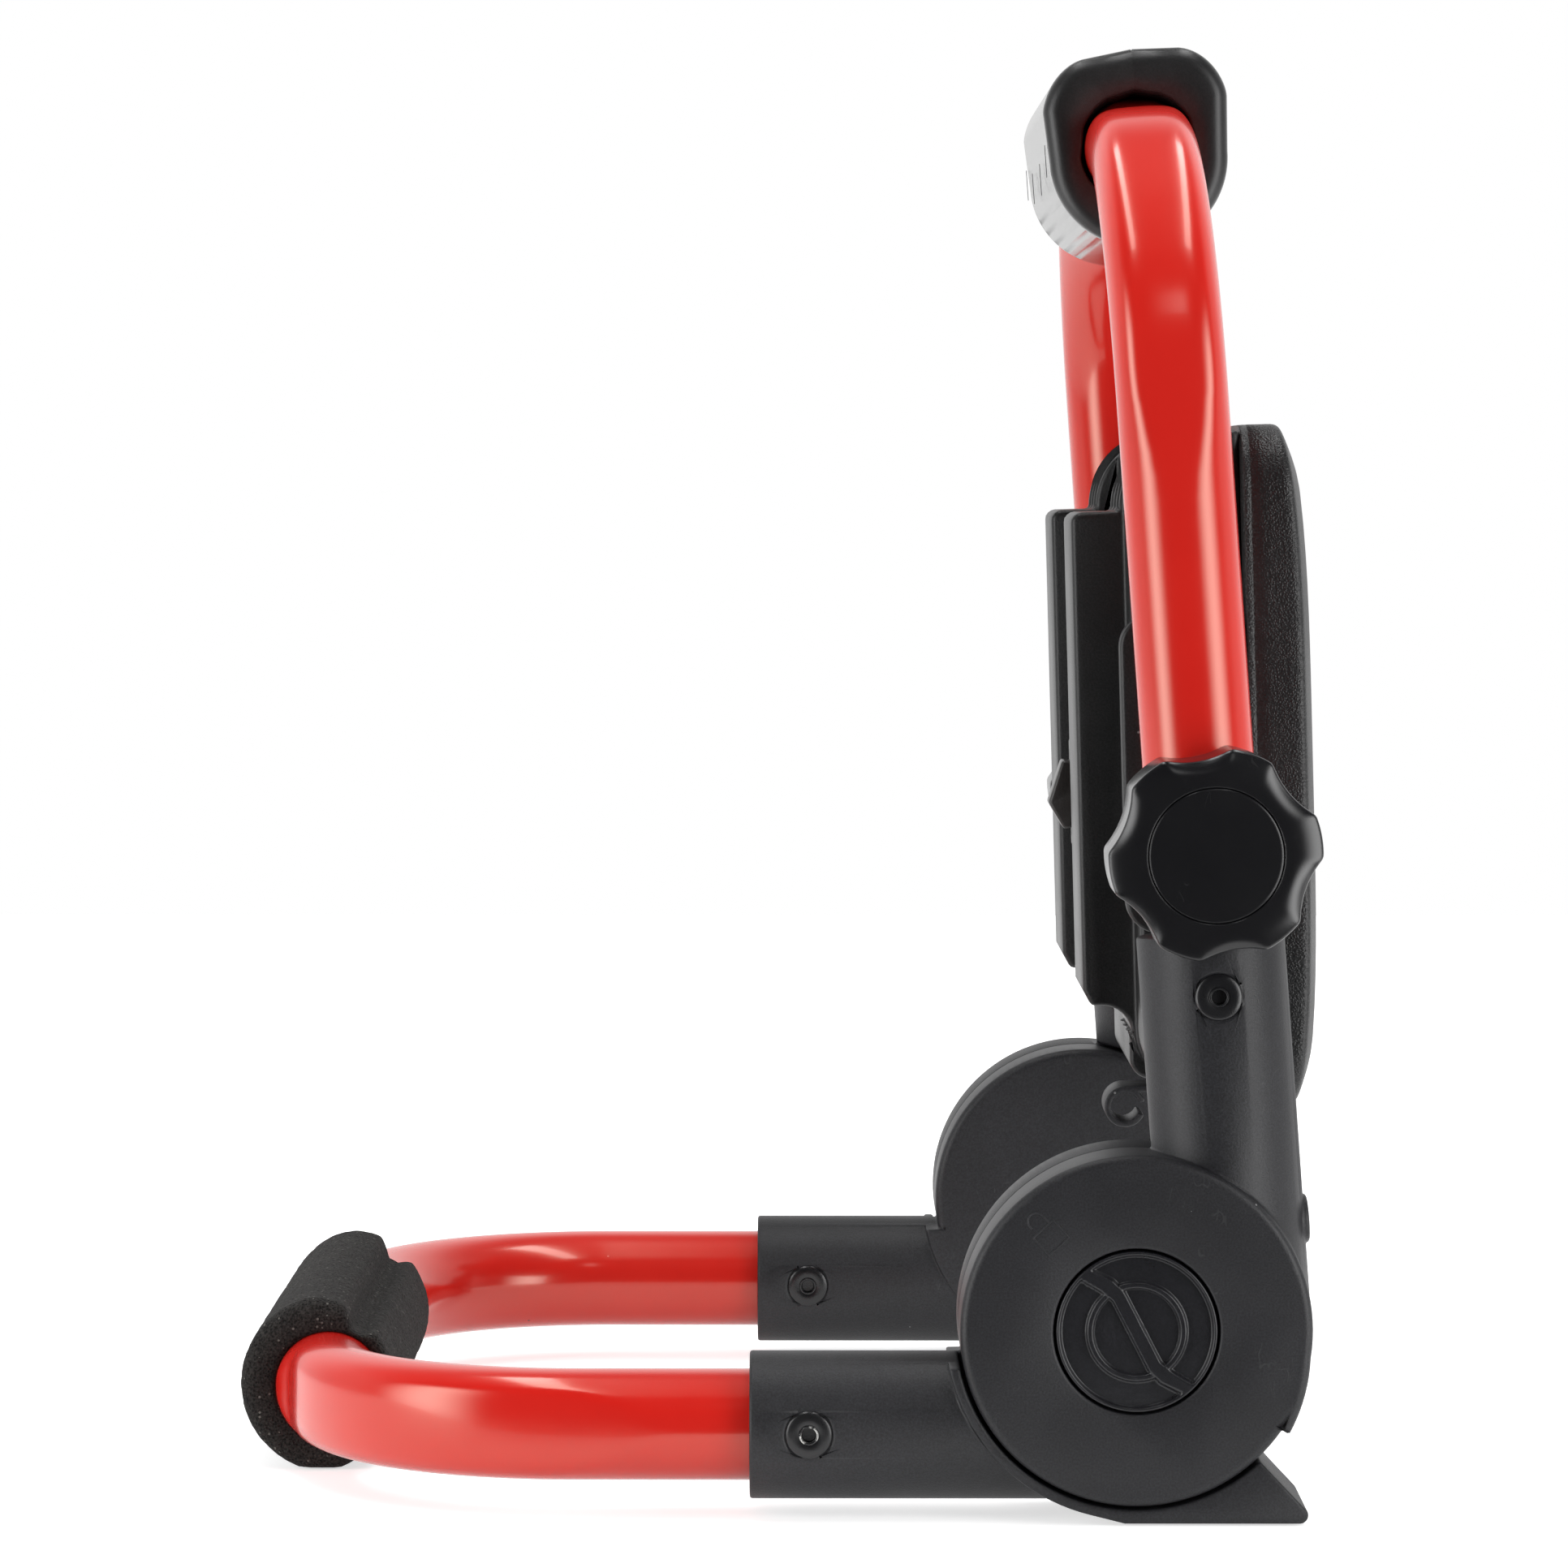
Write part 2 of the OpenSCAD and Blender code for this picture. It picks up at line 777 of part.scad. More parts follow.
module inner_saddles() {
    reach = half_w - side_y - body_gap;
    color(black) pivot_places() difference() {
        translate([0, 0, -reach]) cylinder(d = saddle_d, h = reach);
        rotate([90, 0, 0]) cylinder(r = tube_r + press, h = saddle_d + 2, center = true);
        translate([0, 0, -reach - 1]) cylinder(d = stud_d + 2 * fit, h = reach + 2);
    }
}

module knob() {
    scallop_r = knob_d * 0.44;
    color(coal) difference() {
        union() {
            intersection() {
                translate([0, 0, knob_back]) disc(knob_d / 2, knob_h, knob_edge);
                linear_extrude(knob_front + 1) difference() {
                    circle(d = knob_d);
                    for (i = [0 : knob_lobes - 1])
                        rotate(knob_turned + i * 360 / knob_lobes)
                            translate([knob_d / 2 + scallop_r - scallop, 0]) circle(r = scallop_r);
                }
            }
            translate([0, 0, hub_low]) cylinder(d = saddle_d - 1, h = knob_back + 1 - hub_low);
        }
        translate([0, 0, knob_front - cap_t]) cylinder(d = cap_d, h = cap_t + 1);
        translate([0, 0, hub_low - 1]) cylinder(d = stud_d + 2 * press, h = stud_in_knob + 1);
    }
}

module on_pivot_right() {
    on_handle() right_side() translate([tube_offset, pivot_rise, 0]) children();
}

module on_pivot_left() {
    on_handle() left_side() translate([tube_offset, pivot_rise, 0]) children();
}

module knob_right() {
    on_pivot_right() knob();
}

module knob_left() {
    on_pivot_left() knob();
}

module knob_cap() {
    color(coal) translate([0, 0, knob_front - cap_t]) disc(cap_d / 2 - fit, cap_t, cap_edge);
}

module knob_cap_right() {
    on_pivot_right() knob_cap();
}

module knob_cap_left() {
    on_pivot_left() knob_cap();
}

module knob_stud() {
    low = -(half_w - side_y) - bush_l;
    color(steel) translate([0, 0, low]) cylinder(d = stud_d, h = hub_low + stud_in_knob - 2 * fit - low);
}

module knob_stud_right() {
    on_pivot_right() knob_stud();
}

module knob_stud_left() {
    on_pivot_left() knob_stud();
}

// Lamp head
module back_profile(rear, low, high, edge, front) {
    intersection() {
        translate([-rear, low]) square([front + rear, high - low]);
        union() {
            translate([-rear + edge, low]) square([front + rear, high - low]);
            translate([-rear, low + edge]) square([front + rear, high - low - 2 * edge]);
            for (y = [low + edge, high - edge]) translate([-rear + edge, y]) circle(r = edge);
        }
    }
}

module across(y0, y1) {
    translate([0, y1, 0]) rotate([90, 0, 0]) linear_extrude(y1 - y0) children();
}

module block_profile() {
    edge = 1.2;
    chamfer = 3;
    fillet = 5.5;
    difference() {
        union() {
            polygon([
                [0, -block_low],
                [-block_x + chamfer / 2, -block_low],
                [-block_x, -block_low + chamfer],
                [-block_x, block_high - edge],
                [-block_x + edge, block_high],
                [0, block_high]
            ]);
            translate([-back_x - fin_proud - fillet, -block_low - fillet])
                square([fillet + back_x, fillet + 1]);
        }
        translate([-back_x - fin_proud - fillet, -block_low - fillet]) circle(r = fillet);
    }
}

module cavity() {
    difference() {
        across(-cast_y + cast_wall, cast_y - cast_wall)
            back_profile(back_x - cast_wall, cast_low + cast_wall, cast_top - cast_wall,
                         back_round - cast_wall, lamp_front);
        for (side = [-1, 1]) {
            for (z = [pillar_low, pillar_top])
                translate([-back_x, side * pillar_y, z])
                    rotate([0, 90, 0]) cylinder(r = pillar_r, h = 2 * back_x);
            for (z = [post_low, post_top])
                translate([-back_x, side * post_y, z])
                    rotate([0, 90, 0]) cylinder(r = post_r, h = back_x + plate_back);
            translate([0, side * cast_y, 0])
                rotate([side * 90, 0, 0]) cylinder(r = boss_r, h = cast_y - boss_in);
        }
        translate([-back_x, -block_in - cast_wall, bay_low - cast_wall])
            cube([back_x - bay_x + cast_wall, 2 * (block_in + cast_wall), cast_top]);
    }
}

module lamp_screw_places() {
    for (side = [-1, 1], z = [pillar_low, pillar_top])
        translate([0, side * pillar_y, z]) rotate([0, 90, 0]) children();
}

module plate_screw_places() {
    for (side = [-1, 1], z = [post_low, post_top])
        translate([plate_back, side * post_y, z]) rotate([0, 90, 0]) children();
}

module lamp_housing() {
    color(coal) on_lamp() difference() {
        union() {
            across(-cast_y, cast_y) back_profile(back_x, cast_low, cast_top, back_round, bezel_back);
            across(-block_in, block_in) back_profile(back_x, cast_low, cast_top, bay_round, bezel_back);
            for (side = [-1, 1]) {
                for (i = [0 : fin_count - 1]) {
                    y = block_in + i * (block_w - fin_t) / (fin_count - 1);
                    across(side > 0 ? y : -y - fin_t, side > 0 ? y + fin_t : -y)
                        back_profile(back_x + fin_proud, cast_low, cast_top, back_round + fin_proud, 0);
                }
                across(side > 0 ? block_in : -block_in - block_w, side > 0 ? block_in + block_w : -block_in)
                    block_profile();
            }
            translate([-box_x, -box_y, box_low]) cube([box_x, 2 * box_y, box_top - box_low]);
        }
        cavity();
        translate([-2 * back_x, -block_in, bay_low]) cube([2 * back_x - bay_x, 2 * block_in, cast_top]);
        for (side = [-1, 1]) {
            translate([cell_x - cell_room / 2, side * cell_y - cell_room / 2, cell_low - body_gap])
                cube([back_x + 2, cell_room, cell_l + 2 * body_gap]);
            translate([0, side * (side_y + 1), 0]) rotate([side * 90, 0, 0])
                cylinder(d = bush_d + 2 * press, h = bush_l + 1 + press);
        }
        translate([-box_x + cast_wall, -box_y + cast_wall, box_low + cast_wall])
            cube([box_x, 2 * (box_y - cast_wall), box_top - box_low - 2 * cast_wall]);
        switch_place() cube([3 * cast_wall, switch_w - 2 * switch_inset + 2 * fit,
                             switch_h - 2 * switch_inset + 2 * fit], center = true);
        jack_place() cylinder(d = jack_d + 2 * fit, h = 3 * cast_wall, center = true);
        lamp_screw_places() {
            cylinder(d = screw_d + 2 * press, h = lamp_front);
            translate([0, 0, screw_seat - 2 * back_x]) cylinder(d = screw_head_d + 2 * fit, h = 2 * back_x);
        }
        plate_screw_places() translate([0, 0, -plate_screw_l - fit])
            cylinder(d = plate_screw_d + 2 * press, h = 2 * plate_screw_l);
        translate([clip_stem, 0, cast_low])
            cube([2 * clip_wall + 2 * press, clip_l + 2 * press, 2 * clip_seat], center = true);
    }
}

module switch_place() {
    translate([-box_x, 0, switch_up]) children();
}

module jack_place() {
    translate([-box_x, 0, jack_up]) rotate([0, 90, 0]) children();
}

module side_plate() {
    half_x = (side_rear + side_ahead) / 2;
    half_z = (side_low + side_high) / 2;
    translate([side_ahead - half_x, 0, side_high - half_z]) rotate([90, 0, 0])
        linear_extrude(side_t) rounded_rect(half_x, half_z, side_round);
}

module side_plate_right() {
    color(coal) on_lamp() difference() {
        translate([0, -cast_y, 0]) side_plate();
        translate([0, -cast_y + 1, 0]) rotate([90, 0, 0]) cylinder(d = bush_d + 2 * press, h = side_t + 2);
    }
}

module side_plate_left() {
    color(coal) on_lamp() difference() {
        translate([0, side_y, 0]) side_plate();
        translate([0, side_y + 1, 0]) rotate([90, 0, 0]) cylinder(d = bush_d + 2 * press, h = side_t + 2);
    }
}

module pivot_bushes() {
    color("#b08d45") on_lamp() for (flip = [0, 1]) mirror([0, flip, 0])
        translate([0, -side_y + bush_l, 0]) rotate([90, 0, 0]) difference() {
            cylinder(d = bush_d, h = bush_l);
            translate([0, 0, -1]) cylinder(d = stud_d + 2 * run, h = bush_l + 2);
        }
}

module front_frame() {
    color(coal) on_lamp() difference() {
        lamp_plate(bezel_back, lamp_front, bezel_y, lamp_h / 2, bezel_round);
        lamp_plate(bezel_back - 1, lamp_front + 1, window_y, window_z, window_round);
        lamp_plate(bezel_back - 1, lamp_front - lip_t, window_y + rebate, window_z + rebate, rebate_round);
        lamp_screw_places() cylinder(d = screw_d + 2 * press, h = bezel_back + screw_grip + 5 * fit);
    }
}

module frame_screws() {
    color(steel) on_lamp() lamp_screw_places() {
        translate([0, 0, screw_seat - screw_head_t]) cylinder(d = screw_head_d, h = screw_head_t);
        translate([0, 0, screw_seat]) cylinder(d = screw_d, h = bezel_back + screw_grip - screw_seat);
    }
}

module glass_gasket() {
    color("#303030") on_lamp() difference() {
        lamp_plate(glass_front, lamp_front - lip_t, window_y + rebate - fit, window_z + rebate - fit,
                   rebate_round);
        lamp_plate(glass_front - 1, lamp_front, window_y + 1, window_z + 1, window_round);
    }
}

module front_glass() {
    color("#cfe0e6") on_lamp()
        lamp_plate(glass_back, glass_front, window_y + rebate - body_gap, window_z + rebate - body_gap,
                   rebate_round);
}

module reflector_cone(shrink, x0, x1) {
    hull() {
        lamp_plate(x0, x0 + 0.01, board_y + 1 - shrink, board_z + 1 - shrink, rebate_round - shrink);
        lamp_plate(x1 - 0.01, x1, window_y + rebate - body_gap - shrink,
                   window_z + rebate - body_gap - shrink, rebate_round - shrink);
    }
}

module reflector() {
    color("#e8e8e4") on_lamp() difference() {
        reflector_cone(0, chip_back, glass_back);
        reflector_cone(reflector_t, chip_back - 0.02, glass_back + 0.02);
    }
}

module led_board() {
    color("#e9ebe6") on_lamp() lamp_plate(board_back, chip_back, board_y, board_z, plate_round);
}

module led_chips() {
    pitch_y = 2 * (board_y - 6) / chip_cols;
    pitch_z = 2 * (board_z - 4) / chip_rows;
    color("#e6c64a") on_lamp() for (i = [0 : chip_cols - 1], j = [0 : chip_rows - 1])
        translate([
            chip_back,
            (i - (chip_cols - 1) / 2) * pitch_y - chip_w / 2,
            lamp_up + (j - (chip_rows - 1) / 2) * pitch_z - chip_w / 2
        ]) cube([chip_t, chip_w, chip_w]);
}

module heat_plate() {
    color(steel) on_lamp() difference() {
        lamp_plate(plate_back, board_back, board_y + plate_rim, board_z + plate_rim, plate_round);
        plate_screw_places() translate([0, 0, -1]) cylinder(d = plate_screw_d + 2 * fit, h = plate_t + 2);
        plate_screw_places() translate([0, 0, plate_web]) cylinder(d = plate_head_d + 4 * fit, h = plate_t);
    }
}

module plate_screws() {
    color(steel) on_lamp() plate_screw_places() {
        translate([0, 0, -plate_screw_l]) cylinder(d = plate_screw_d, h = plate_screw_l + plate_web);
        translate([0, 0, plate_web]) cylinder(d = plate_head_d, h = plate_t - plate_web - fit);
    }
}

module battery_cells() {
    color("#2f5fa8") on_lamp() for (side = [-1, 1])
        translate([cell_x, side * cell_y, cell_low]) {
            cylinder(d = cell_d, h = cell_l - cell_tip);
            cylinder(d = 0.4 * cell_d, h = cell_l);
        }
}

module driver_board() {
    color("#2f7a45") on_lamp()
        translate([driver_x, -driver_w / 2, lamp_up + driver_up]) {
            cube([board_t, driver_w, driver_h]);
            for (i = [0, 1])
                translate([-coil_t, (0.1 + 0.45 * i) * driver_w, driver_h / 6])
                    cube([coil_t + press, driver_w / 4, driver_h / (2 + i)]);
        }
}

module switch_body() {
    color(coal) on_lamp() switch_place() difference() {
        union() {
            translate([-switch_rim, -switch_w / 2, -switch_h / 2]) cube([switch_rim, switch_w, switch_h]);
            translate([-1, switch_inset - switch_w / 2, switch_inset - switch_h / 2])
                cube([switch_depth, switch_w - 2 * switch_inset, switch_h - 2 * switch_inset]);
        }
        translate([-switch_rim - 1, rocker_wall - switch_w / 2, rocker_wall - switch_h / 2])
            cube([switch_rim + 1 + rocker_room, switch_w - 2 * rocker_wall, switch_h - 2 * rocker_wall]);
        rocker_pin(rocker_pin_d + 2 * run, rocker_pin_in + body_gap);
    }
}

module rocker_pin(d, in) {
    half_y = switch_w / 2 - rocker_wall + in;
    translate([rocker_axis, 0, 0]) rotate([90, 0, 0]) cylinder(d = d, h = 2 * half_y, center = true);
}

module switch_rocker() {
    half_y = switch_w / 2 - rocker_wall - body_gap;
    half_z = switch_h / 2 - rocker_wall - rocker_end;
    color(coal) on_lamp() switch_place() {
        rocker_pin(rocker_pin_d, rocker_pin_in);
        across(-half_y, half_y) polygon([
            [rocker_in, -half_z + 1.2],
            [-rocker_proud / 2, -half_z + 0.4],
            [-rocker_proud, -1.5],
            [-rocker_proud / 2, half_z - 0.4],
            [rocker_in, half_z - 1.2]
        ]);
    }
}

module charge_jack() {
    color(steel) on_lamp() jack_place() difference() {
        cylinder(d = jack_d, h = jack_l);
        translate([0, 0, -1]) cylinder(d = jack_bore, h = jack_bore_l + 1);
    }
}

module jack_cover() {
    color("#2a2a2c") on_lamp() jack_place() {
        translate([0, 0, -cover_t]) cylinder(d = jack_d + 2 * cover_rim, h = cover_t);
        translate([0, 0, -cover_t / 2]) cylinder(d = jack_bore - 3 * fit, h = jack_bore_l - 1);
    }
}

module cord_clip() {
    stem = clip_stem - clip_x;
    color(black) on_lamp() translate([clip_x, 0, clip_z]) across(-clip_l / 2, clip_l / 2) {
        difference() {
            circle(d = clip_d);
            circle(d = clip_d - 2 * clip_wall);
            polygon([[0, 0], [clip_d, clip_d * 0.25], [clip_d, -clip_d * 0.45]]);
        }
        translate([0, clip_d / 2 - clip_wall]) square([stem + clip_wall, clip_wall]);
        translate([stem - clip_wall, clip_d / 2 - clip_wall])
            square([2 * clip_wall, clip_wall + clip_drop + clip_seat - press]);
    }
}

base_tube();
base_foam_sleeve();
hinge_lower_right();
hinge_lower_left();
base_rivets();
hinge_axles();
axle_nuts();
hinge_upper_right();
hinge_upper_left();
lock_ring_right();
lock_ring_left();
lock_dial_right();
lock_dial_left();
handle_tube();
handle_rivets();
grip_front_shell();
grip_rear_shell();
grip_screws();
outer_saddles();
inner_saddles();
knob_right();
knob_left();
knob_cap_right();
knob_cap_left();
knob_stud_right();
knob_stud_left();
lamp_housing();
side_plate_right();
side_plate_left();
pivot_bushes();
front_frame();
frame_screws();
glass_gasket();
front_glass();
reflector();
led_board();
led_chips();
heat_plate();
plate_screws();
battery_cells();
driver_board();
switch_body();
switch_rocker();
charge_jack();
jack_cover();
cord_clip();
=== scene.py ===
"""Looks of the folding work light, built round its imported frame.

Lengths in this script are in millimetres until a mesh is placed. A side of the light has its own
axes: x forwards, y up and z outwards from the plane of the tubes. The lamp has x forwards, y across
and z up, from its tilt axis.
"""
import json
import math

import bmesh
import bpy
from mathutils import Matrix, Vector, noise
from mathutils.bvhtree import BVHTree


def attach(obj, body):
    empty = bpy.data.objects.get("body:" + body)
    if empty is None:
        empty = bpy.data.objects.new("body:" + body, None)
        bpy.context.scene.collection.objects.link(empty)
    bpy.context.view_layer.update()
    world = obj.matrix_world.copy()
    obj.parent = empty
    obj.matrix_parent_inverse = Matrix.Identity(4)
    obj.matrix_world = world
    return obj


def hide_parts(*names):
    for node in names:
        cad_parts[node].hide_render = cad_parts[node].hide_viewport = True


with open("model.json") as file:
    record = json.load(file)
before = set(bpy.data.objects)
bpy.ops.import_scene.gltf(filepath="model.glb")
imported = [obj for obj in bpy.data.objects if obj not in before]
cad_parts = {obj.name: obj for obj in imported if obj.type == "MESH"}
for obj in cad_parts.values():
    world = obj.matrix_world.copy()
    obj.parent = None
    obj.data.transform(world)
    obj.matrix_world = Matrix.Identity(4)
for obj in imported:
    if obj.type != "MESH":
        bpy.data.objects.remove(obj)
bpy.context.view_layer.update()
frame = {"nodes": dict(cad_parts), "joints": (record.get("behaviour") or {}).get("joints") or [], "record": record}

MM = 0.001
RIGHT, LEFT = -1, 1
SIDES = {"right": RIGHT, "left": LEFT}
joint_at = {joint["name"]: joint.get("pos_m") for joint in frame["joints"]}
FOLD = Vector(joint_at["handle_fold"]) / MM
TILT = Vector(joint_at["lamp_tilt"]) / MM
HANDLE_LEAN = math.radians(4.2)
LAMP_LEAN = math.radians(1.6)

# Frames
HALF_W = 100.0
TUBE_R = 10.0
TUBE_OFFSET = 18.75
TUBE_START = 35.9
BEND_R = 48.0
BEND_LENGTH = BEND_R * math.pi / 2
BASE_REACH = 148.0
HANDLE_RISE = 211.5
SOCKET_R = 13.25
FLAT_FROM = (-17, 7)
BASE_FLAT_TO = (-9.0, -1.0)
HANDLE_FLAT_TO = (0.0, 14.0)

# Foam and grip
FOAM_R = 15.7
FOAM_FULL = 1.1
FOAM_SHIFT = Vector((-3.3, -0.351))
FOAM_LENGTH = 107.0
FOAM_END_ROUND = 2.6
FOAM_HOLE = 10.1
FOAM_SLIT = math.radians(62)
SLIT_FLOOR = 11.2
SLIT_REACHES = (3.8, 5.2)
SLIT_SPREAD = math.radians(26)
GRIP_LENGTH = 103.0
GRIP_W = 34.4
GRIP_H = 36.6
GRIP_ROUNDS = (8.5, 8.0)
GRIP_CROWN = 2.8
GRIP_CREST = 2.5
GRIP_LOW_R = 16.6
GRIP_MOUTH = 10.9
GRIP_END_ROUND = 3.0
GRIP_RIBS = 10
RIB_DEPTH = 0.22
SEAM_DEPTH = 0.15
PARTING_CUTS = ((0.16, 0), (0.06, 0.14), (-0.06, 0.14), (-0.16, 0))
GRIP_SLOTS = ((-46.5, -1.0), (-18.0, -3.0), (18.0, -3.0), (46.5, -1.0))
GRIP_SLOT = (0.08, 0.9, 6.0)

# Knobs and dials
KNOB_R = 18.7
KNOB_BACK = 13.65
KNOB_FRONT = 34.15
KNOB_LOBES = 6
KNOB_SCALLOP = 2.0
KNOB_HOLLOW_R = 16.46
KNOB_TURNED = math.radians(36)
KNOB_FACE_R = 12.9
KNOB_EDGE = 0.8
KNOB_DOME = 1.25
KNOB_HUB_R = 8.0
KNOB_INNER = 12.75
KNOB_BACK_ROLL = ((0.0, 2.2), (0.25, 1.2), (0.8, 0.5), (1.6, 0.12), (2.6, 0.0), (9.0, 0.0))
CAP_R = 11.75
CAP_SEAT = 0.9
DIAL_R = 14.3
DIAL_LOW = 10.8
DIAL_TOP = 15.0
DIAL_DISH = 1.0
DIAL_RING_R = 8.3
RIDGE_HALF = [(-10.4, 9.4), (-6.6, 7.2), (-4.3, 5.4), (2.2, -7.2), (4.2, -9.2), (8.2, -11.2)]
RIVET_SEAT = SOCKET_R - 0.65
RIVET_AT = 58.1
RIVET_HEAD = [(0, -2.6), (1.25, -2.6), (1.3, 0.42), (1.5, 0.56), (2.0, 0.72), (2.6, 0.78), (3.2, 0.74),
              (3.8, 0.6), (4.15, 0.4), (4.28, 0.1), (4.28, -0.15), (3.5, -0.3), (0, -0.3)]
RIVET_STEM = [(1.28, 0.3), (1.3, 0.72), (1.4, 0.88), (1.55, 0.93), (1.7, 0.88), (1.78, 0.72), (1.76, 0.3),
              (1.28, 0.3)]
PADLOCK_CASE = [(-2.4, 1.6), (-2.4, -2.6), (2.4, -2.6), (2.4, 1.6), (-2.4, 1.6)]
PADLOCK_HOOP_R = 1.5
PADLOCK_LEGS = (1.8, 1.3)
PADLOCK_AT = 23.2
PADLOCK_TURN = math.radians(38)

# Lamp
LAMP_UP = 12.4
FRAME_BACK = 9.6
FRAME_HALF_Y = 83.0
FRAME_HALF_Z = 62.5
FRAME_ROUND = 12.0
WINDOW_IN = 14.0
REBATE_IN = 9.5
LIP_BACK = 19.4
FRAME_CROWN = 3.0
FRAME_GROOVE = [(-0.3, 0.0), (-0.12, 0.12), (0.0, 0.16), (0.12, 0.12), (0.3, 0.0)]
FRAME_ROLL = [(14.0, 0.0), (17.3, 0.0), (18.8, 0.02), (19.4, 0.1), (19.8, 0.26), (20.1, 0.52), (20.35, 0.95),
              (20.55, 1.6), (20.75, 2.4), (21.1, 4.0), (21.5, 5.9), (21.85, 8.0), (22.1, 10.0), (22.2, 11.8),
              (22.1, 12.9), (21.7, 13.6)]

# Mesh making
WELD = 0.002
CAD_WELD = 0.02
FLAT_ANGLE = math.radians(0.5)
SOFT_ANGLE = math.radians(32)
SOFT_NODES = [("lamp_housing", 0.8, "lamp_head")]
SOFT_NODES += [(f"side_plate_{word}", 0.7, "lamp_head") for word in SIDES]
SOFT_NODES += [(f"hinge_lower_{word}", 0.45, "base") for word in SIDES]
SOFT_NODES += [(f"hinge_upper_{word}", 0.45, "handle_frame") for word in SIDES]
SOFT_NODES += [("cord_clip", 0.3, "lamp_head"), ("switch_body", 0.5, "lamp_head"),
               ("switch_rocker", 0.5, "rocker")]

# Stage, in metres
CAMERA_AT = (0.0045, -1.184, 0.1852)
CAMERA_TURN = (math.radians(87.131), 0.0, math.radians(0.172))
CAMERA_LENS = 139.4
FLOOR_CORNERS = [(-1.2, -0.19), (1.2, -0.19), (1.2, 1.4), (-1.2, 1.4)]
FLOOR_Z = -0.0004
LIGHT_MIDDLE = Vector((0.05, -0.05, 0.2))
LIGHT_AWAY = 0.85


# Places

def side_place(side, at, turn=0.0):
    """Matrix from a side's own axes, at a point of the fold or tilt axis."""
    axes = Matrix(((1, 0, 0, at.x), (0, 0, side, side * HALF_W), (0, 1, 0, at.z), (0, 0, 0, 1)))
    return axes @ Matrix.Rotation(turn, 4, "Z")


def handle_place():
    return Matrix.Translation(FOLD) @ Matrix.Rotation(-HANDLE_LEAN, 4, "Y")


def lamp_place():
    return Matrix.Translation(TILT) @ Matrix.Rotation(-LAMP_LEAN, 4, "Y")


def base_tube_place():
    """Matrix from a tube's own axes: x along its legs, y across."""
    return Matrix(((-1, 0, 0, FOLD.x), (0, 1, 0, 0), (0, 0, 1, FOLD.z - TUBE_OFFSET), (0, 0, 0, 1)))


def handle_tube_place():
    return handle_place() @ Matrix(((0, 0, 1, TUBE_OFFSET), (0, 1, 0, 0), (1, 0, 0, 0), (0, 0, 0, 1)))


# Curves

def step_up(value, low, high):
    share = max(0.0, min(1.0, (value - low) / (high - low)))
    return share * share * (3 - 2 * share)


def soft_min(a, b, blend):
    share = max(blend - abs(a - b), 0.0) / blend
    return min(a, b) - share ** 3 * blend / 6


# Mesh making

def loft(bm, rings):
    """Skin a row of closed rings of points."""
    rows = [[bm.verts.new(point) for point in ring] for ring in rings]
    count = len(rows[0])
    for low, high in zip(rows, rows[1:]):
        for i in range(count):
            j = (i + 1) % count
            bm.faces.new((low[i], low[j], high[j], high[i]))


def around(steps):
    return [2 * math.pi * i / steps for i in range(steps)]


def lathe(bm, profile, steps=96):
    """Turn (radius, height) points round the z axis."""
    loft(bm, [[(r * math.cos(a), r * math.sin(a), z) for a in around(steps)] for r, z in profile])


def mesh_from(name, bm, place=Matrix.Identity(4)):
    """A welded mesh in metres from one in millimetres."""
    bmesh.ops.remove_doubles(bm, verts=bm.verts, dist=WELD)
    bmesh.ops.recalc_face_normals(bm, faces=bm.faces)
    bm.transform(Matrix.Scale(MM, 4) @ place)
    if place.determinant() < 0:
        bmesh.ops.reverse_faces(bm, faces=bm.faces)
    mesh = bpy.data.meshes.new(name)
    bm.to_mesh(mesh)
    bm.free()
    return mesh


def finish_piece(name, mesh, finish, body, stands_for, sharp=38):
    mesh.materials.clear()
    mesh.materials.append(finish)
    mesh.polygons.foreach_set("use_smooth", [True] * len(mesh.polygons))
    mesh.set_sharp_from_angle(angle=math.radians(sharp))
    piece = bpy.data.objects.new(name, mesh)
    bpy.context.scene.collection.objects.link(piece)
    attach(piece, body)
    if stands_for:
        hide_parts(*stands_for)
    return piece


def piece_from(name, bm, place, finish, body, stands_for, sharp=38):
    return finish_piece(name, mesh_from(name, bm, place), finish, body, stands_for, sharp)


def softened_node(node, width, body):
    """A CAD solid with its edges rounded; a corner that overshoots goes back to the solid."""
    bm = bmesh.new()
    bm.from_mesh(frame["nodes"][node].data)
    bm.transform(Matrix.Scale(1 / MM, 4))
    bmesh.ops.remove_doubles(bm, verts=bm.verts, dist=CAD_WELD)
    solid = BVHTree.FromBMesh(bm)
    bmesh.ops.dissolve_limit(bm, angle_limit=FLAT_ANGLE, verts=bm.verts, edges=bm.edges)
    sharp = [edge for edge in bm.edges
             if len(edge.link_faces) == 2 and edge.calc_face_angle(0) > SOFT_ANGLE]
    bmesh.ops.bevel(bm, geom=sharp, offset=width, segments=2, profile=0.5, affect="EDGES", clamp_overlap=False)
    for vert in bm.verts:
        near, _, _, distance = solid.find_nearest(vert.co)
        if distance > width:
            vert.co = near
    slot = SLOT_OF[node]
    piece_from(node + "_moulded", bm, Matrix.Identity(4), FINISH[slot], body, [node])


# Node trees

def put(tree, kind, settings=None, ins=None):
    node = tree.nodes.new(kind)
    for key, value in (settings or {}).items():
        setattr(node, key, value)
    for key, value in (ins or {}).items():
        if isinstance(value, bpy.types.NodeSocket):
            tree.links.new(value, node.inputs[key])
        else:
            node.inputs[key].default_value = value
    return node


def math_node(tree, operation, a, b=0.0, c=0.0, clamp=False):
    settings = {"operation": operation, "use_clamp": clamp}
    return put(tree, "ShaderNodeMath", settings, {0: a, 1: b, 2: c}).outputs[0]


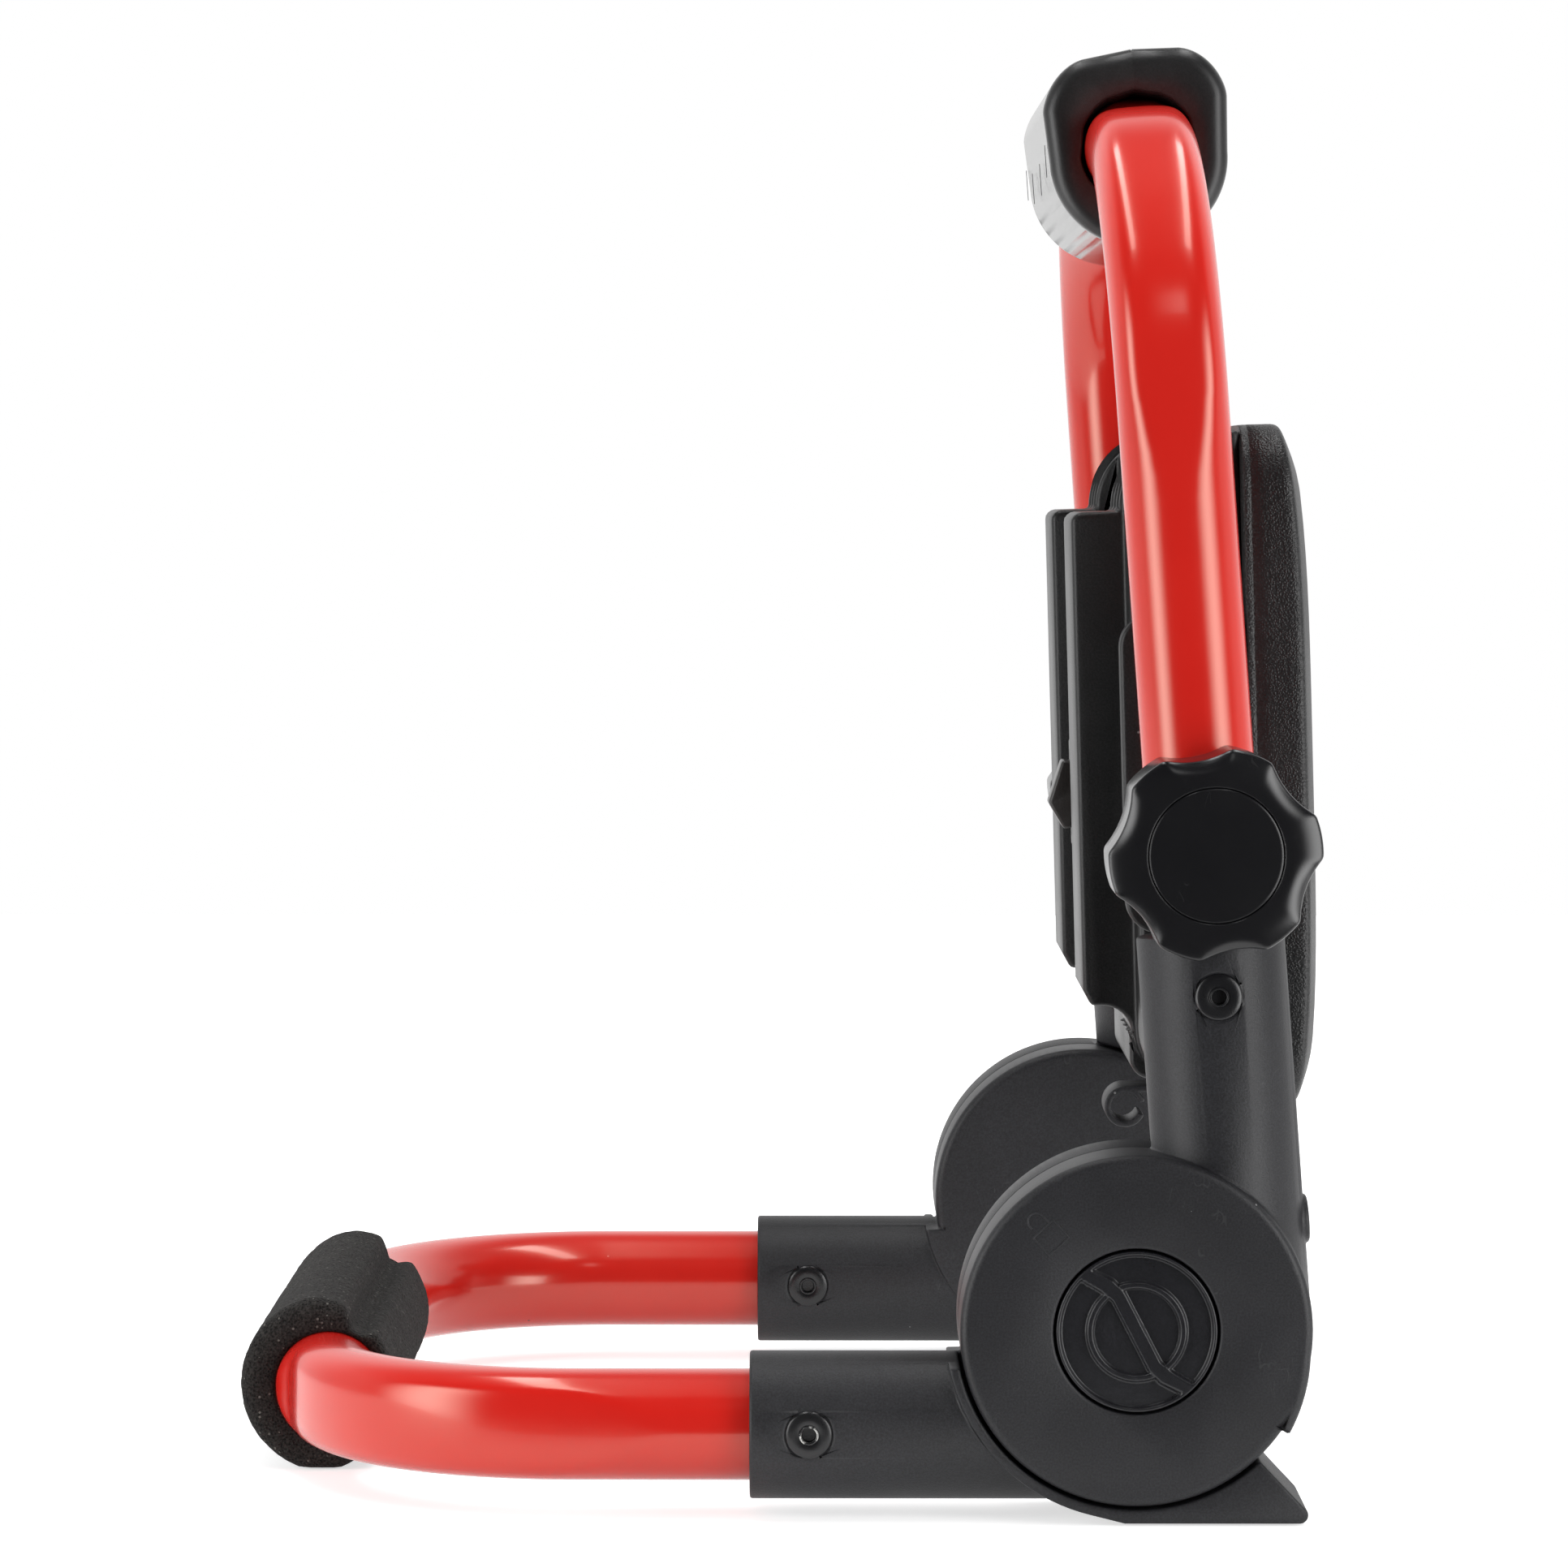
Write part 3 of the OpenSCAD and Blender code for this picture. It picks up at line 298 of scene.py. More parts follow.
def scaled(tree, a, b):
    return math_node(tree, "MULTIPLY", a, b)


def vector_node(tree, operation, a, b=(0.0, 0.0, 0.0)):
    return put(tree, "ShaderNodeVectorMath", {"operation": operation}, {0: a, 1: b}).outputs


def ranged(tree, value, low, high, to_low, to_high, smooth=False):
    settings = {"interpolation_type": "SMOOTHSTEP"} if smooth else None
    return put(tree, "ShaderNodeMapRange", settings,
               {"Value": value, "From Min": low, "From Max": high, "To Min": to_low,
                "To Max": to_high}).outputs["Result"]


def mixed(tree, mask, a, b):
    node = put(tree, "ShaderNodeMix", {"data_type": "RGBA"}, {0: mask})
    for socket, value in ((node.inputs[6], a), (node.inputs[7], b)):
        if isinstance(value, bpy.types.NodeSocket):
            tree.links.new(value, socket)
        else:
            socket.default_value = (*value, 1.0)
    return node.outputs[2]


def object_place(tree):
    return put(tree, "ShaderNodeTexCoord").outputs["Object"]


def noise_node(tree, place, scale, detail, roughness=0.5):
    return put(tree, "ShaderNodeTexNoise", None,
               {"Vector": place, "Scale": scale, "Detail": detail, "Roughness": roughness}).outputs


def feed(tree, shader, **values):
    for key, value in values.items():
        tree.links.new(value, shader.inputs[key.replace("_", " ")])


def bump(tree, depth, height, normal=None):
    node = put(tree, "ShaderNodeBump", None, {"Distance": depth, "Height": height})
    if normal:
        tree.links.new(normal, node.inputs["Normal"])
    return node.outputs["Normal"]


def shader_group(name, inputs, outputs):
    tree = bpy.data.node_groups.new(name, "ShaderNodeTree")
    for label, value in inputs.items():
        socket = tree.interface.new_socket(label, in_out="INPUT", socket_type="NodeSocketFloat")
        socket.default_value = value
    for label, kind in outputs.items():
        tree.interface.new_socket(label, in_out="OUTPUT", socket_type=kind)
    return tree, tree.nodes.new("NodeGroupInput").outputs, tree.nodes.new("NodeGroupOutput").inputs


def grain_group():
    """Fine moulded grain, and the slow change of tone over a surface."""
    tree, ins, outs = shader_group("moulded_grain", {"Scale": 1800.0, "Spread": 35.0},
                                   {"Height": "NodeSocketFloat", "Tone": "NodeSocketFloat"})
    place = object_place(tree)
    slow = noise_node(tree, place, ins["Spread"], 5.0, 0.6)["Fac"]
    tree.links.new(noise_node(tree, place, ins["Scale"], 3.0, 0.65)["Fac"], outs["Height"])
    tree.links.new(ranged(tree, slow, 0.3, 0.7, 0.0, 1.0), outs["Tone"])
    return tree


def leather_group():
    """Pebbled grain as on the lamp's front frame, and a mask of the pits between the pebbles for painted shade."""
    tree, ins, outs = shader_group("leather_grain", {"Scale": 1300.0},
                                   {"Height": "NodeSocketFloat", "Pit Shade": "NodeSocketFloat"})
    place = object_place(tree)
    stir = noise_node(tree, place, 420.0, 2.0)["Color"]
    moved = put(tree, "ShaderNodeVectorMath", {"operation": "MULTIPLY_ADD"},
                {0: stir, 1: (0.0012, 0.0012, 0.0012), 2: place})
    cells = put(tree, "ShaderNodeTexVoronoi", {"feature": "SMOOTH_F1"},
                {"Vector": moved.outputs[0], "Scale": ins["Scale"], "Smoothness": 0.6})
    dome = ranged(tree, cells.outputs["Distance"], 0.0, 0.75, 1.0, 0.0, True)
    tree.links.new(dome, outs["Height"])
    tree.links.new(math_node(tree, "SUBTRACT", 1.0, dome, clamp=True), outs["Pit Shade"])
    return tree


def edge_group():
    """Rounded shading over sharp edges, and a patchy mask of them for rubbed plastic and paint."""
    tree, ins, outs = shader_group("rubbed_edges", {"Radius": 0.0004, "Patches": 120.0},
                                   {"Edge": "NodeSocketFloat", "Normal": "NodeSocketVector"})
    rounded = put(tree, "ShaderNodeBevel", {"samples": 4}, {"Radius": ins["Radius"]}).outputs["Normal"]
    flat = put(tree, "ShaderNodeNewGeometry").outputs["Normal"]
    turn = vector_node(tree, "DOT_PRODUCT", rounded, flat)["Value"]
    edge = ranged(tree, turn, 0.985, 0.86, 0.0, 1.0)
    patch = noise_node(tree, object_place(tree), ins["Patches"], 3.0)["Fac"]
    kept = ranged(tree, patch, 0.35, 0.65, 0.25, 1.0)
    tree.links.new(math_node(tree, "MULTIPLY", edge, kept, clamp=True), outs["Edge"])
    tree.links.new(rounded, outs["Normal"])
    return tree


def speck_group():
    """Scattered dots: dust on plastic, pits in paint."""
    tree, ins, outs = shader_group("specks", {"Scale": 260.0, "Size": 0.06, "Share": 0.3},
                                   {"Specks": "NodeSocketFloat"})
    cells = put(tree, "ShaderNodeTexVoronoi", None, {"Vector": object_place(tree), "Scale": ins["Scale"]})
    dot = math_node(tree, "LESS_THAN", cells.outputs["Distance"], ins["Size"])
    pick = put(tree, "ShaderNodeSeparateColor", None, {"Color": cells.outputs["Color"]}).outputs[0]
    tree.links.new(scaled(tree, dot, math_node(tree, "LESS_THAN", pick, ins["Share"])), outs["Specks"])
    return tree


def scuff_group():
    """Hairline scratches from handling."""
    tree, ins, outs = shader_group("scuffs", {"Scale": 230.0, "Width": 0.006},
                                   {"Scuffs": "NodeSocketFloat"})
    place = object_place(tree)
    lines = None
    for turn in ((0.5, 0.9, 0.3), (1.1, 0.2, 1.4)):
        drawn = put(tree, "ShaderNodeMapping", None,
                    {"Vector": place, "Rotation": turn, "Scale": (1.0, 0.07, 0.4)}).outputs[0]
        field = noise_node(tree, drawn, ins["Scale"], 1.0)["Fac"]
        off = math_node(tree, "ABSOLUTE", math_node(tree, "SUBTRACT", field, 0.5))
        line = math_node(tree, "LESS_THAN", off, ins["Width"])
        lines = line if lines is None else math_node(tree, "MAXIMUM", lines, line)
    shown = ranged(tree, noise_node(tree, place, 160.0, 2.0)["Fac"], 0.62, 0.68, 0.0, 1.0)
    tree.links.new(scaled(tree, lines, shown), outs["Scuffs"])
    return tree


GRAIN, LEATHER, EDGES = grain_group(), leather_group(), edge_group()
SPECKS, SCUFFS = speck_group(), scuff_group()
DUST = (0.16, 0.16, 0.16)
SCRATCH = (0.20, 0.20, 0.20)


def placed(tree, group, **values):
    node = put(tree, "ShaderNodeGroup", {"node_tree": group})
    for key, value in values.items():
        node.inputs[key].default_value = value
    return node.outputs


def new_finish(name, **sockets):
    finish = bpy.data.materials.new(name)
    finish.use_nodes = True
    shader = finish.node_tree.nodes["Principled BSDF"]
    for key, value in sockets.items():
        shader.inputs[key.replace("_", " ")].default_value = value
    return finish, finish.node_tree, shader


def moulded(name, dark, light, rough, grain=1800.0, depth=0.00003, edge=None, edge_radius=0.0004,
            edge_share=0.5, specks=0.0, scuffs=0.0, mottle=0.0, polish=0.0, leather=0.0, shine=0.5):
    """Plastic, paint or rubber: two tones, grain, rubbed edges, dust and hairline scratches.

    With polish, the faces along the light's width take that roughness and the end faces keep their own.
    """
    finish, tree, shader = new_finish(name, Specular_IOR_Level=shine)
    skin = placed(tree, GRAIN, Scale=grain)
    speckle = ranged(tree, skin["Height"], 0.35, 0.65, 1.0 - mottle, 1.0 + mottle)
    color = put(tree, "ShaderNodeHueSaturation", None,
                {"Color": mixed(tree, skin["Tone"], dark, light), "Value": speckle}).outputs[0]
    rim = placed(tree, EDGES, Radius=edge_radius)
    height = skin["Height"]
    if leather:
        hide = placed(tree, LEATHER, Scale=leather)
        height = math_node(tree, "ADD", scaled(tree, hide["Height"], 1.6), height)
        # Painted shade: the pits of the leather grain are darkened, as if shaded.
        color = mixed(tree, scaled(tree, hide["Pit Shade"], 0.3), color, [0.55 * c for c in dark])
    if edge:
        color = mixed(tree, scaled(tree, rim["Edge"], edge_share), color, edge)
    if specks:
        color = mixed(tree, placed(tree, SPECKS, Share=specks)["Specks"], color, DUST)
    roughness = ranged(tree, skin["Tone"], 0.0, 1.0, rough[0], rough[1])
    if polish:
        way = put(tree, "ShaderNodeNewGeometry").outputs["Normal"]
        across = put(tree, "ShaderNodeSeparateXYZ", None, {0: way}).outputs[1]
        end = ranged(tree, math_node(tree, "ABSOLUTE", across), 0.15, 0.6, 0.0, 1.0, True)
        roughness = math_node(tree, "MULTIPLY_ADD", end,
                              math_node(tree, "SUBTRACT", roughness, polish), polish)
    if scuffs:
        color = mixed(tree, scaled(tree, placed(tree, SCUFFS)["Scuffs"], scuffs), color, SCRATCH)
    feed(tree, shader, Base_Color=color, Roughness=roughness, Normal=bump(tree, depth, height, rim["Normal"]))
    return finish


def metal(name, color, worn, rough):
    """Bare metal with a drawn grain and a few duller patches."""
    finish, tree, shader = new_finish(name, Metallic=1.0)
    drawn = put(tree, "ShaderNodeMapping", None,
                {"Vector": object_place(tree), "Scale": (1.0, 1.0, 0.03)}).outputs[0]
    lines = noise_node(tree, drawn, 3000.0, 2.0)["Fac"]
    skin = placed(tree, GRAIN, Scale=900.0, Spread=120.0)
    rim = placed(tree, EDGES, Radius=0.0002)
    feed(tree, shader, Base_Color=mixed(tree, skin["Tone"], color, worn),
         Roughness=ranged(tree, lines, 0.3, 0.7, *rough), Normal=bump(tree, 0.00001, lines, rim["Normal"]))
    return finish


def red_paint():
    """Gloss powder coat: a faint orange peel, tiny pits and a few specks."""
    finish, tree, shader = new_finish("red_gloss_paint", Coat_Roughness=0.05, Specular_IOR_Level=0.7,
                                      Specular_Tint=(1.0, 0.88, 0.70, 1.0))
    skin = placed(tree, GRAIN, Scale=330.0, Spread=14.0)
    color = mixed(tree, skin["Tone"], (0.57, 0.012, 0.008), (0.63, 0.016, 0.010))
    pits = placed(tree, SPECKS, Scale=150.0, Size=0.04, Share=0.06)["Specks"]
    pale = placed(tree, SPECKS, Scale=190.0, Size=0.04, Share=0.08)["Specks"]
    color = mixed(tree, pits, color, (0.10, 0.004, 0.004))
    color = mixed(tree, pale, color, (0.75, 0.16, 0.12))
    feed(tree, shader, Base_Color=color, Roughness=ranged(tree, skin["Tone"], 0.0, 1.0, 0.18, 0.24),
         Coat_Weight=ranged(tree, skin["Tone"], 0.0, 1.0, 0.2, 0.3),
         Normal=bump(tree, 0.000008, skin["Height"]))
    return finish


def black_foam():
    """Open-cell foam: fine pores, darkened inside with painted shade, and pale dust caught in them."""
    finish, tree, shader = new_finish("black_foam", Specular_IOR_Level=0.12, Sheen_Weight=0.03,
                                      Sheen_Roughness=0.6)
    pores = put(tree, "ShaderNodeTexVoronoi", None,
                {"Vector": object_place(tree), "Scale": 1600.0}).outputs["Distance"]
    deep = ranged(tree, pores, 0.0, 0.55, 0.0, 1.0, True)
    skin = placed(tree, GRAIN, Scale=2300.0, Spread=60.0)
    color = mixed(tree, skin["Tone"], (0.016, 0.0148, 0.0138), (0.027, 0.0252, 0.0235))
    color = put(tree, "ShaderNodeHueSaturation", None,
                {"Color": color, "Value": ranged(tree, skin["Height"], 0.35, 0.65, 0.3, 1.7)}).outputs[0]
    # Painted shade: the middle of each pore is painted near black, as the shade inside it. The same mask also
    # dents the surface.
    color = mixed(tree, deep, (0.003, 0.003, 0.003), color)
    dust = placed(tree, SPECKS, Scale=1100.0, Size=0.26, Share=0.14)["Specks"]
    color = mixed(tree, dust, color, (0.11, 0.105, 0.095))
    height = math_node(tree, "ADD", deep, scaled(tree, skin["Height"], 0.6))
    feed(tree, shader, Base_Color=color, Roughness=ranged(tree, skin["Tone"], 0.0, 1.0, 0.88, 1.0),
         Normal=bump(tree, 0.00016, height))
    return finish


def worn_rivet():
    """Black paint worn through to bright steel in patches."""
    finish, tree, shader = new_finish("worn_rivet")
    skin = placed(tree, GRAIN, Scale=2400.0, Spread=520.0)
    bare = ranged(tree, skin["Tone"], 0.45, 0.62, 0.0, 1.0)
    feed(tree, shader, Base_Color=mixed(tree, bare, (0.010, 0.010, 0.011), (0.62, 0.62, 0.60)), Metallic=bare,
         Roughness=ranged(tree, skin["Height"], 0.3, 0.7, 0.22, 0.42),
         Normal=bump(tree, 0.00006, skin["Height"]))
    return finish


def clear_glass():
    """Front glass with a trace of dust."""
    finish, tree, shader = new_finish("clear_glass", Base_Color=(0.93, 0.97, 0.96, 1.0), IOR=1.5,
                                      Transmission_Weight=1.0)
    skin = placed(tree, GRAIN, Scale=500.0, Spread=25.0)
    feed(tree, shader, Roughness=ranged(tree, skin["Tone"], 0.0, 1.0, 0.02, 0.09))
    return finish


# Dark tone, light tone, roughness of each, and what else sets the finish apart
NYLON = ((0.0085, 0.0085, 0.0102), (0.0125, 0.0125, 0.015))
PLASTICS = {
    "hinge_nylon": (*NYLON, (0.44, 0.52),
                    {"grain": 2600.0, "edge": (0.06, 0.06, 0.065), "edge_share": 0.35, "specks": 0.09,
                     "scuffs": 0.06, "depth": 0.00006, "mottle": 0.5, "shine": 0.45}),
    "dial_nylon": (*NYLON, (0.26, 0.33),
                   {"grain": 2600.0, "edge": (0.06, 0.06, 0.065), "edge_share": 0.3, "edge_radius": 0.0002,
                    "specks": 0.05, "mottle": 0.3, "depth": 0.00002}),
    "black_rivet": ((0.006, 0.006, 0.007), (0.010, 0.010, 0.011), (0.22, 0.32),
                    {"edge": (0.05, 0.05, 0.05), "edge_radius": 0.0002}),
    # Painted shade: a near-black finish with no shine, for the thin sheets set where the grip's slots are.
    "painted_slot_shade": ((0.004, 0.004, 0.004), (0.007, 0.007, 0.007), (0.9, 1.0), {"shine": 0.0}),
    "grip_plastic": ((0.009, 0.009, 0.0094), (0.012, 0.012, 0.0125), (0.34, 0.42),
                     {"grain": 3000.0, "edge": (0.04, 0.04, 0.04), "edge_share": 0.3, "specks": 0.05,
                      "depth": 0.00002, "mottle": 0.3, "polish": 0.12}),
    "knob_gloss": ((0.006, 0.006, 0.007), (0.009, 0.009, 0.010), (0.18, 0.25),
                   {"grain": 700.0, "depth": 0.000006, "specks": 0.04, "scuffs": 0.04}),
    "cast_black": ((0.008, 0.008, 0.0083), (0.013, 0.013, 0.0133), (0.32, 0.40),
                   {"grain": 2600.0, "edge": (0.05, 0.05, 0.05), "edge_share": 0.4, "specks": 0.06,
                    "depth": 0.00005, "mottle": 0.45, "shine": 0.35}),
    "frame_black": ((0.007, 0.007, 0.0075), (0.011, 0.011, 0.0115), (0.38, 0.48),
                    {"leather": 2600.0, "edge": (0.05, 0.05, 0.05), "edge_share": 0.3, "specks": 0.04,
                     "depth": 0.00004, "mottle": 0.3, "shine": 0.45}),
    "seal_rubber": ((0.012, 0.012, 0.012), (0.020, 0.020, 0.020), (0.60, 0.72), {"specks": 0.1}),
    "switch_plastic": ((0.012, 0.010, 0.009), (0.018, 0.015, 0.014), (0.28, 0.36),
                       {"grain": 1200.0, "edge": (0.06, 0.06, 0.06)}),
    "white_reflector": ((0.74, 0.74, 0.72), (0.80, 0.80, 0.78), (0.25, 0.35),
                        {"grain": 900.0, "depth": 0.00002}),
    "white_board": ((0.70, 0.71, 0.68), (0.78, 0.79, 0.76), (0.40, 0.5), {"grain": 1400.0}),
    "led_phosphor": ((0.70, 0.50, 0.06), (0.82, 0.64, 0.14), (0.35, 0.45),
                     {"grain": 3200.0, "depth": 0.00004}),
    "green_board": ((0.02, 0.13, 0.04), (0.03, 0.18, 0.06), (0.35, 0.45), {"grain": 1200.0}),
    "cell_wrap": ((0.04, 0.12, 0.34), (0.05, 0.16, 0.42), (0.25, 0.35), {"grain": 600.0}),
}
METALS = {
    "plain_steel": ((0.56, 0.57, 0.59), (0.42, 0.43, 0.45), (0.24, 0.40)),
    "bare_aluminium": ((0.68, 0.69, 0.71), (0.58, 0.59, 0.61), (0.28, 0.44)),
    "brass": ((0.62, 0.46, 0.19), (0.48, 0.34, 0.13), (0.24, 0.38)),
}
FINISH = {"red_paint": red_paint(), "black_foam": black_foam(), "worn_rivet": worn_rivet(),
          "clear_glass": clear_glass()}
for name, (dark, light, rough, more) in PLASTICS.items():
    FINISH[name] = moulded(name, dark, light, rough, **more)
for name, tones in METALS.items():
    FINISH[name] = metal(name, *tones)
SLOT_OF = {row["node"]: row["material_slot"] for row in frame["record"]["subparts"]}


def dress_nodes():
    """Give every CAD solid that stays the finish of its slot."""
    for node, thing in frame["nodes"].items():
        thing.data.materials.clear()
        thing.data.materials.append(FINISH[SLOT_OF[node]])
        thing.data.polygons.foreach_set("use_smooth", [True] * len(thing.data.polygons))


# Geometry Nodes

def shape_tree(name, inputs):
    tree = bpy.data.node_groups.new(name, "GeometryNodeTree")
    tree.interface.new_socket("Geometry", in_out="INPUT", socket_type="NodeSocketGeometry")
    for label, kind in inputs.items():
        tree.interface.new_socket(label, in_out="INPUT", socket_type=kind)
    tree.interface.new_socket("Geometry", in_out="OUTPUT", socket_type="NodeSocketGeometry")
    return tree, tree.nodes.new("NodeGroupInput").outputs


def end_tree(tree, geometry, finish):
    real = put(tree, "GeometryNodeRealizeInstances", None, {"Geometry": geometry})
    dressed = put(tree, "GeometryNodeSetMaterial", None, {"Geometry": real.outputs[0], "Material": finish})
    out = tree.nodes.new("NodeGroupOutput")
    tree.links.new(dressed.outputs[0], out.inputs[0])


def bent_tube_tree():
    """A tube swept along a path, pressed flatter on its outer side where the path's points say so."""
    tree, ins = shape_tree("bent_tube", {"Tube Radius": "NodeSocketFloat", "Sides": "NodeSocketInt",
                                         "Flattening": "NodeSocketFloat", "Shoulder": "NodeSocketFloat",
                                         "Finish": "NodeSocketMaterial"})

    def kept(name, kind):
        return put(tree, "GeometryNodeInputNamedAttribute", {"data_type": kind}, {"Name": name}).outputs[0]

    place = put(tree, "GeometryNodeInputPosition").outputs[0]
    path = put(tree, "GeometryNodeMeshToCurve", None, {"Mesh": ins["Geometry"]}).outputs[0]
    spined = put(tree, "GeometryNodeStoreNamedAttribute", {"data_type": "FLOAT_VECTOR"},
                 {"Geometry": path, "Name": "spine", "Value": place}).outputs[0]
    section = put(tree, "GeometryNodeCurvePrimitiveCircle", None,
                  {"Resolution": ins["Sides"], "Radius": ins["Tube Radius"]}).outputs[0]
    tube = put(tree, "GeometryNodeCurveToMesh", None,
               {"Curve": spined, "Profile Curve": section, "Fill Caps": True}).outputs[0]
    out, flat = kept("out", "FLOAT_VECTOR"), kept("flat", "FLOAT")
    from_spine = vector_node(tree, "SUBTRACT", place, kept("spine", "FLOAT_VECTOR"))[0]
    along = vector_node(tree, "DOT_PRODUCT", from_spine, out)["Value"]
    share = scaled(tree, ins["Flattening"], flat)
    limit = scaled(tree, ins["Tube Radius"], math_node(tree, "SUBTRACT", 1.0, share))
    pressed = math_node(tree, "SMOOTH_MIN", along, limit, scaled(tree, ins["Shoulder"], flat))
    shift = put(tree, "ShaderNodeVectorMath", {"operation": "SCALE"},
                {0: out, "Scale": math_node(tree, "SUBTRACT", pressed, along)}).outputs[0]
    moved = put(tree, "GeometryNodeSetPosition", None, {"Geometry": tube, "Offset": shift}).outputs[0]
    end_tree(tree, moved, ins["Finish"])
    return tree


def repeat_tree():
    """One small piece set on every point, turned by the point's own angles."""
    tree, ins = shape_tree("repeated_piece", {"Piece": "NodeSocketObject", "Finish": "NodeSocketMaterial"})
    shape = put(tree, "GeometryNodeObjectInfo", None, {"Object": ins["Piece"]})
    turn = put(tree, "GeometryNodeInputNamedAttribute", {"data_type": "FLOAT_VECTOR"}, {"Name": "turn"})
    copies = put(tree, "GeometryNodeInstanceOnPoints", None,
                 {"Points": ins["Geometry"], "Instance": shape.outputs["Geometry"],
                  "Rotation": turn.outputs[0]})
    end_tree(tree, copies.outputs[0], ins["Finish"])
    return tree


def grown_mesh(name, start, tree, values):
    """Run a tree on a start mesh and keep the result as a plain mesh."""
    holder = bpy.data.objects.new(name + "_start", start)
    bpy.context.scene.collection.objects.link(holder)
    modifier = holder.modifiers.new("grow", "NODES")
    modifier.node_group = tree
    for item in tree.interface.items_tree:
        if item.in_out == "INPUT" and item.name in values:
            modifier[item.identifier] = values[item.name]
    mesh = bpy.data.meshes.new_from_object(holder.evaluated_get(bpy.context.evaluated_depsgraph_get()))
    mesh.name = name
    holder.modifiers.remove(modifier)
    bpy.data.objects.remove(holder)
    return mesh


BENT_TUBE, REPEATED = bent_tube_tree(), repeat_tree()


def repeated(name, make, spots, finish, body, stands_for):
    """Copies of one small mesh at (place, euler) spots, in metres."""
    bm = bmesh.new()
    make(bm)
    source = bpy.data.objects.new(name + "_shape", mesh_from(name + "_shape", bm))
    bpy.context.scene.collection.objects.link(source)
    points = bpy.data.meshes.new(name + "_points")
    points.from_pydata([spot for spot, _ in spots], [], [])
    turns = points.attributes.new("turn", "FLOAT_VECTOR", "POINT")
    turns.data.foreach_set("vector", [angle for _, turn in spots for angle in turn])
    mesh = grown_mesh(name, points, REPEATED, {"Piece": source, "Finish": finish})
    bpy.data.objects.remove(source)
    finish_piece(name, mesh, finish, body, stands_for)


# Tubes

def u_rows(reach, fade):
    """A bent frame tube as (along, across, outward way, flatness) rows, flattened through its bends."""
    leg_end, cross = reach - BEND_R, HALF_W - BEND_R
    leg_steps, bend_steps, cross_steps = 30, 60, 26
    rows = []
    for i in range(leg_steps + 1):
        along = TUBE_START + (leg_end - TUBE_START) * i / leg_steps
        rows.append((along, -HALF_W, (0.0, -1.0), along - leg_end))
    for i in range(1, bend_steps + 1):
        turn = math.pi / 2 * i / bend_steps
        way = (math.sin(turn), -math.cos(turn))
        rows.append((leg_end + BEND_R * way[0], BEND_R * way[1] - cross, way, BEND_R * turn))
    for i in range(1, cross_steps + 1):
        rows.append((reach, cross * (i / cross_steps - 1), (1.0, 0.0), BEND_LENGTH + cross * i / cross_steps))
    half = [(along, across, way, step_up(run, *FLAT_FROM) * (1 - step_up(run - BEND_LENGTH, *fade)))
            for along, across, way, run in rows]
    return half + [(along, -across, (way[0], -way[1]), flat)
                   for along, across, way, flat in reversed(half[:-1])]


def path_mesh(rows, place):
    """A line of points that carries each point's outward way and flatness."""
    mesh = bpy.data.meshes.new("path")
    mesh.from_pydata([MM * (place @ Vector((row[0], row[1], 0))) for row in rows],
                     [(i, i + 1) for i in range(len(rows) - 1)], [])
    turn = place.to_3x3()
    ways = [turn @ Vector((*row[2], 0.0)) for row in rows]
    out = mesh.attributes.new("out", "FLOAT_VECTOR", "POINT")
    out.data.foreach_set("vector", [c for way in ways for c in way])
    flat = mesh.attributes.new("flat", "FLOAT", "POINT")
    flat.data.foreach_set("value", [row[3] for row in rows])
    return mesh


def tubes():
    finish = FINISH["red_paint"]
    sizes = {"Tube Radius": TUBE_R * MM, "Sides": 96, "Flattening": 0.24, "Shoulder": 4.2 * MM,
             "Finish": finish}
    for name, reach, place, fade, body in (
            ("base_tube", BASE_REACH, base_tube_place(), BASE_FLAT_TO, "base"),
            ("handle_tube", HANDLE_RISE, handle_tube_place(), HANDLE_FLAT_TO, "handle_frame")):
        mesh = grown_mesh(name + "_painted", path_mesh(u_rows(reach, fade), place), BENT_TUBE, sizes)
        finish_piece(name + "_painted", mesh, finish, body, [name])


# Foam sleeve

def foam_radius(angle):
    """Radius of the sleeve's section: thinner on the inner side, with a soft slit along the top."""
    way = Vector((math.cos(angle), math.sin(angle)))
    lean = -FOAM_SHIFT.dot(way)
    inner = math.sqrt(lean ** 2 - FOAM_SHIFT.length_squared + FOAM_R ** 2) - lean
    radius = soft_min(FOAM_R, inner, 1.2) + FOAM_FULL * (1 - step_up(way.x, -0.2, 0.9))
    across = (angle - FOAM_SLIT) * radius
    reach = SLIT_REACHES[across > 0]
    return radius - (radius - SLIT_FLOOR) * (1 - step_up(abs(across), 0.5, reach))


def foam_angles():
    """Angles round the sleeve, close together over the slit."""
    near = SLIT_SPREAD
    slit = [FOAM_SLIT - near + 2 * near * i / 80 for i in range(81)]
    rest = [FOAM_SLIT + near + (2 * math.pi - 2 * near) * i / 120 for i in range(1, 120)]
    return slit + rest


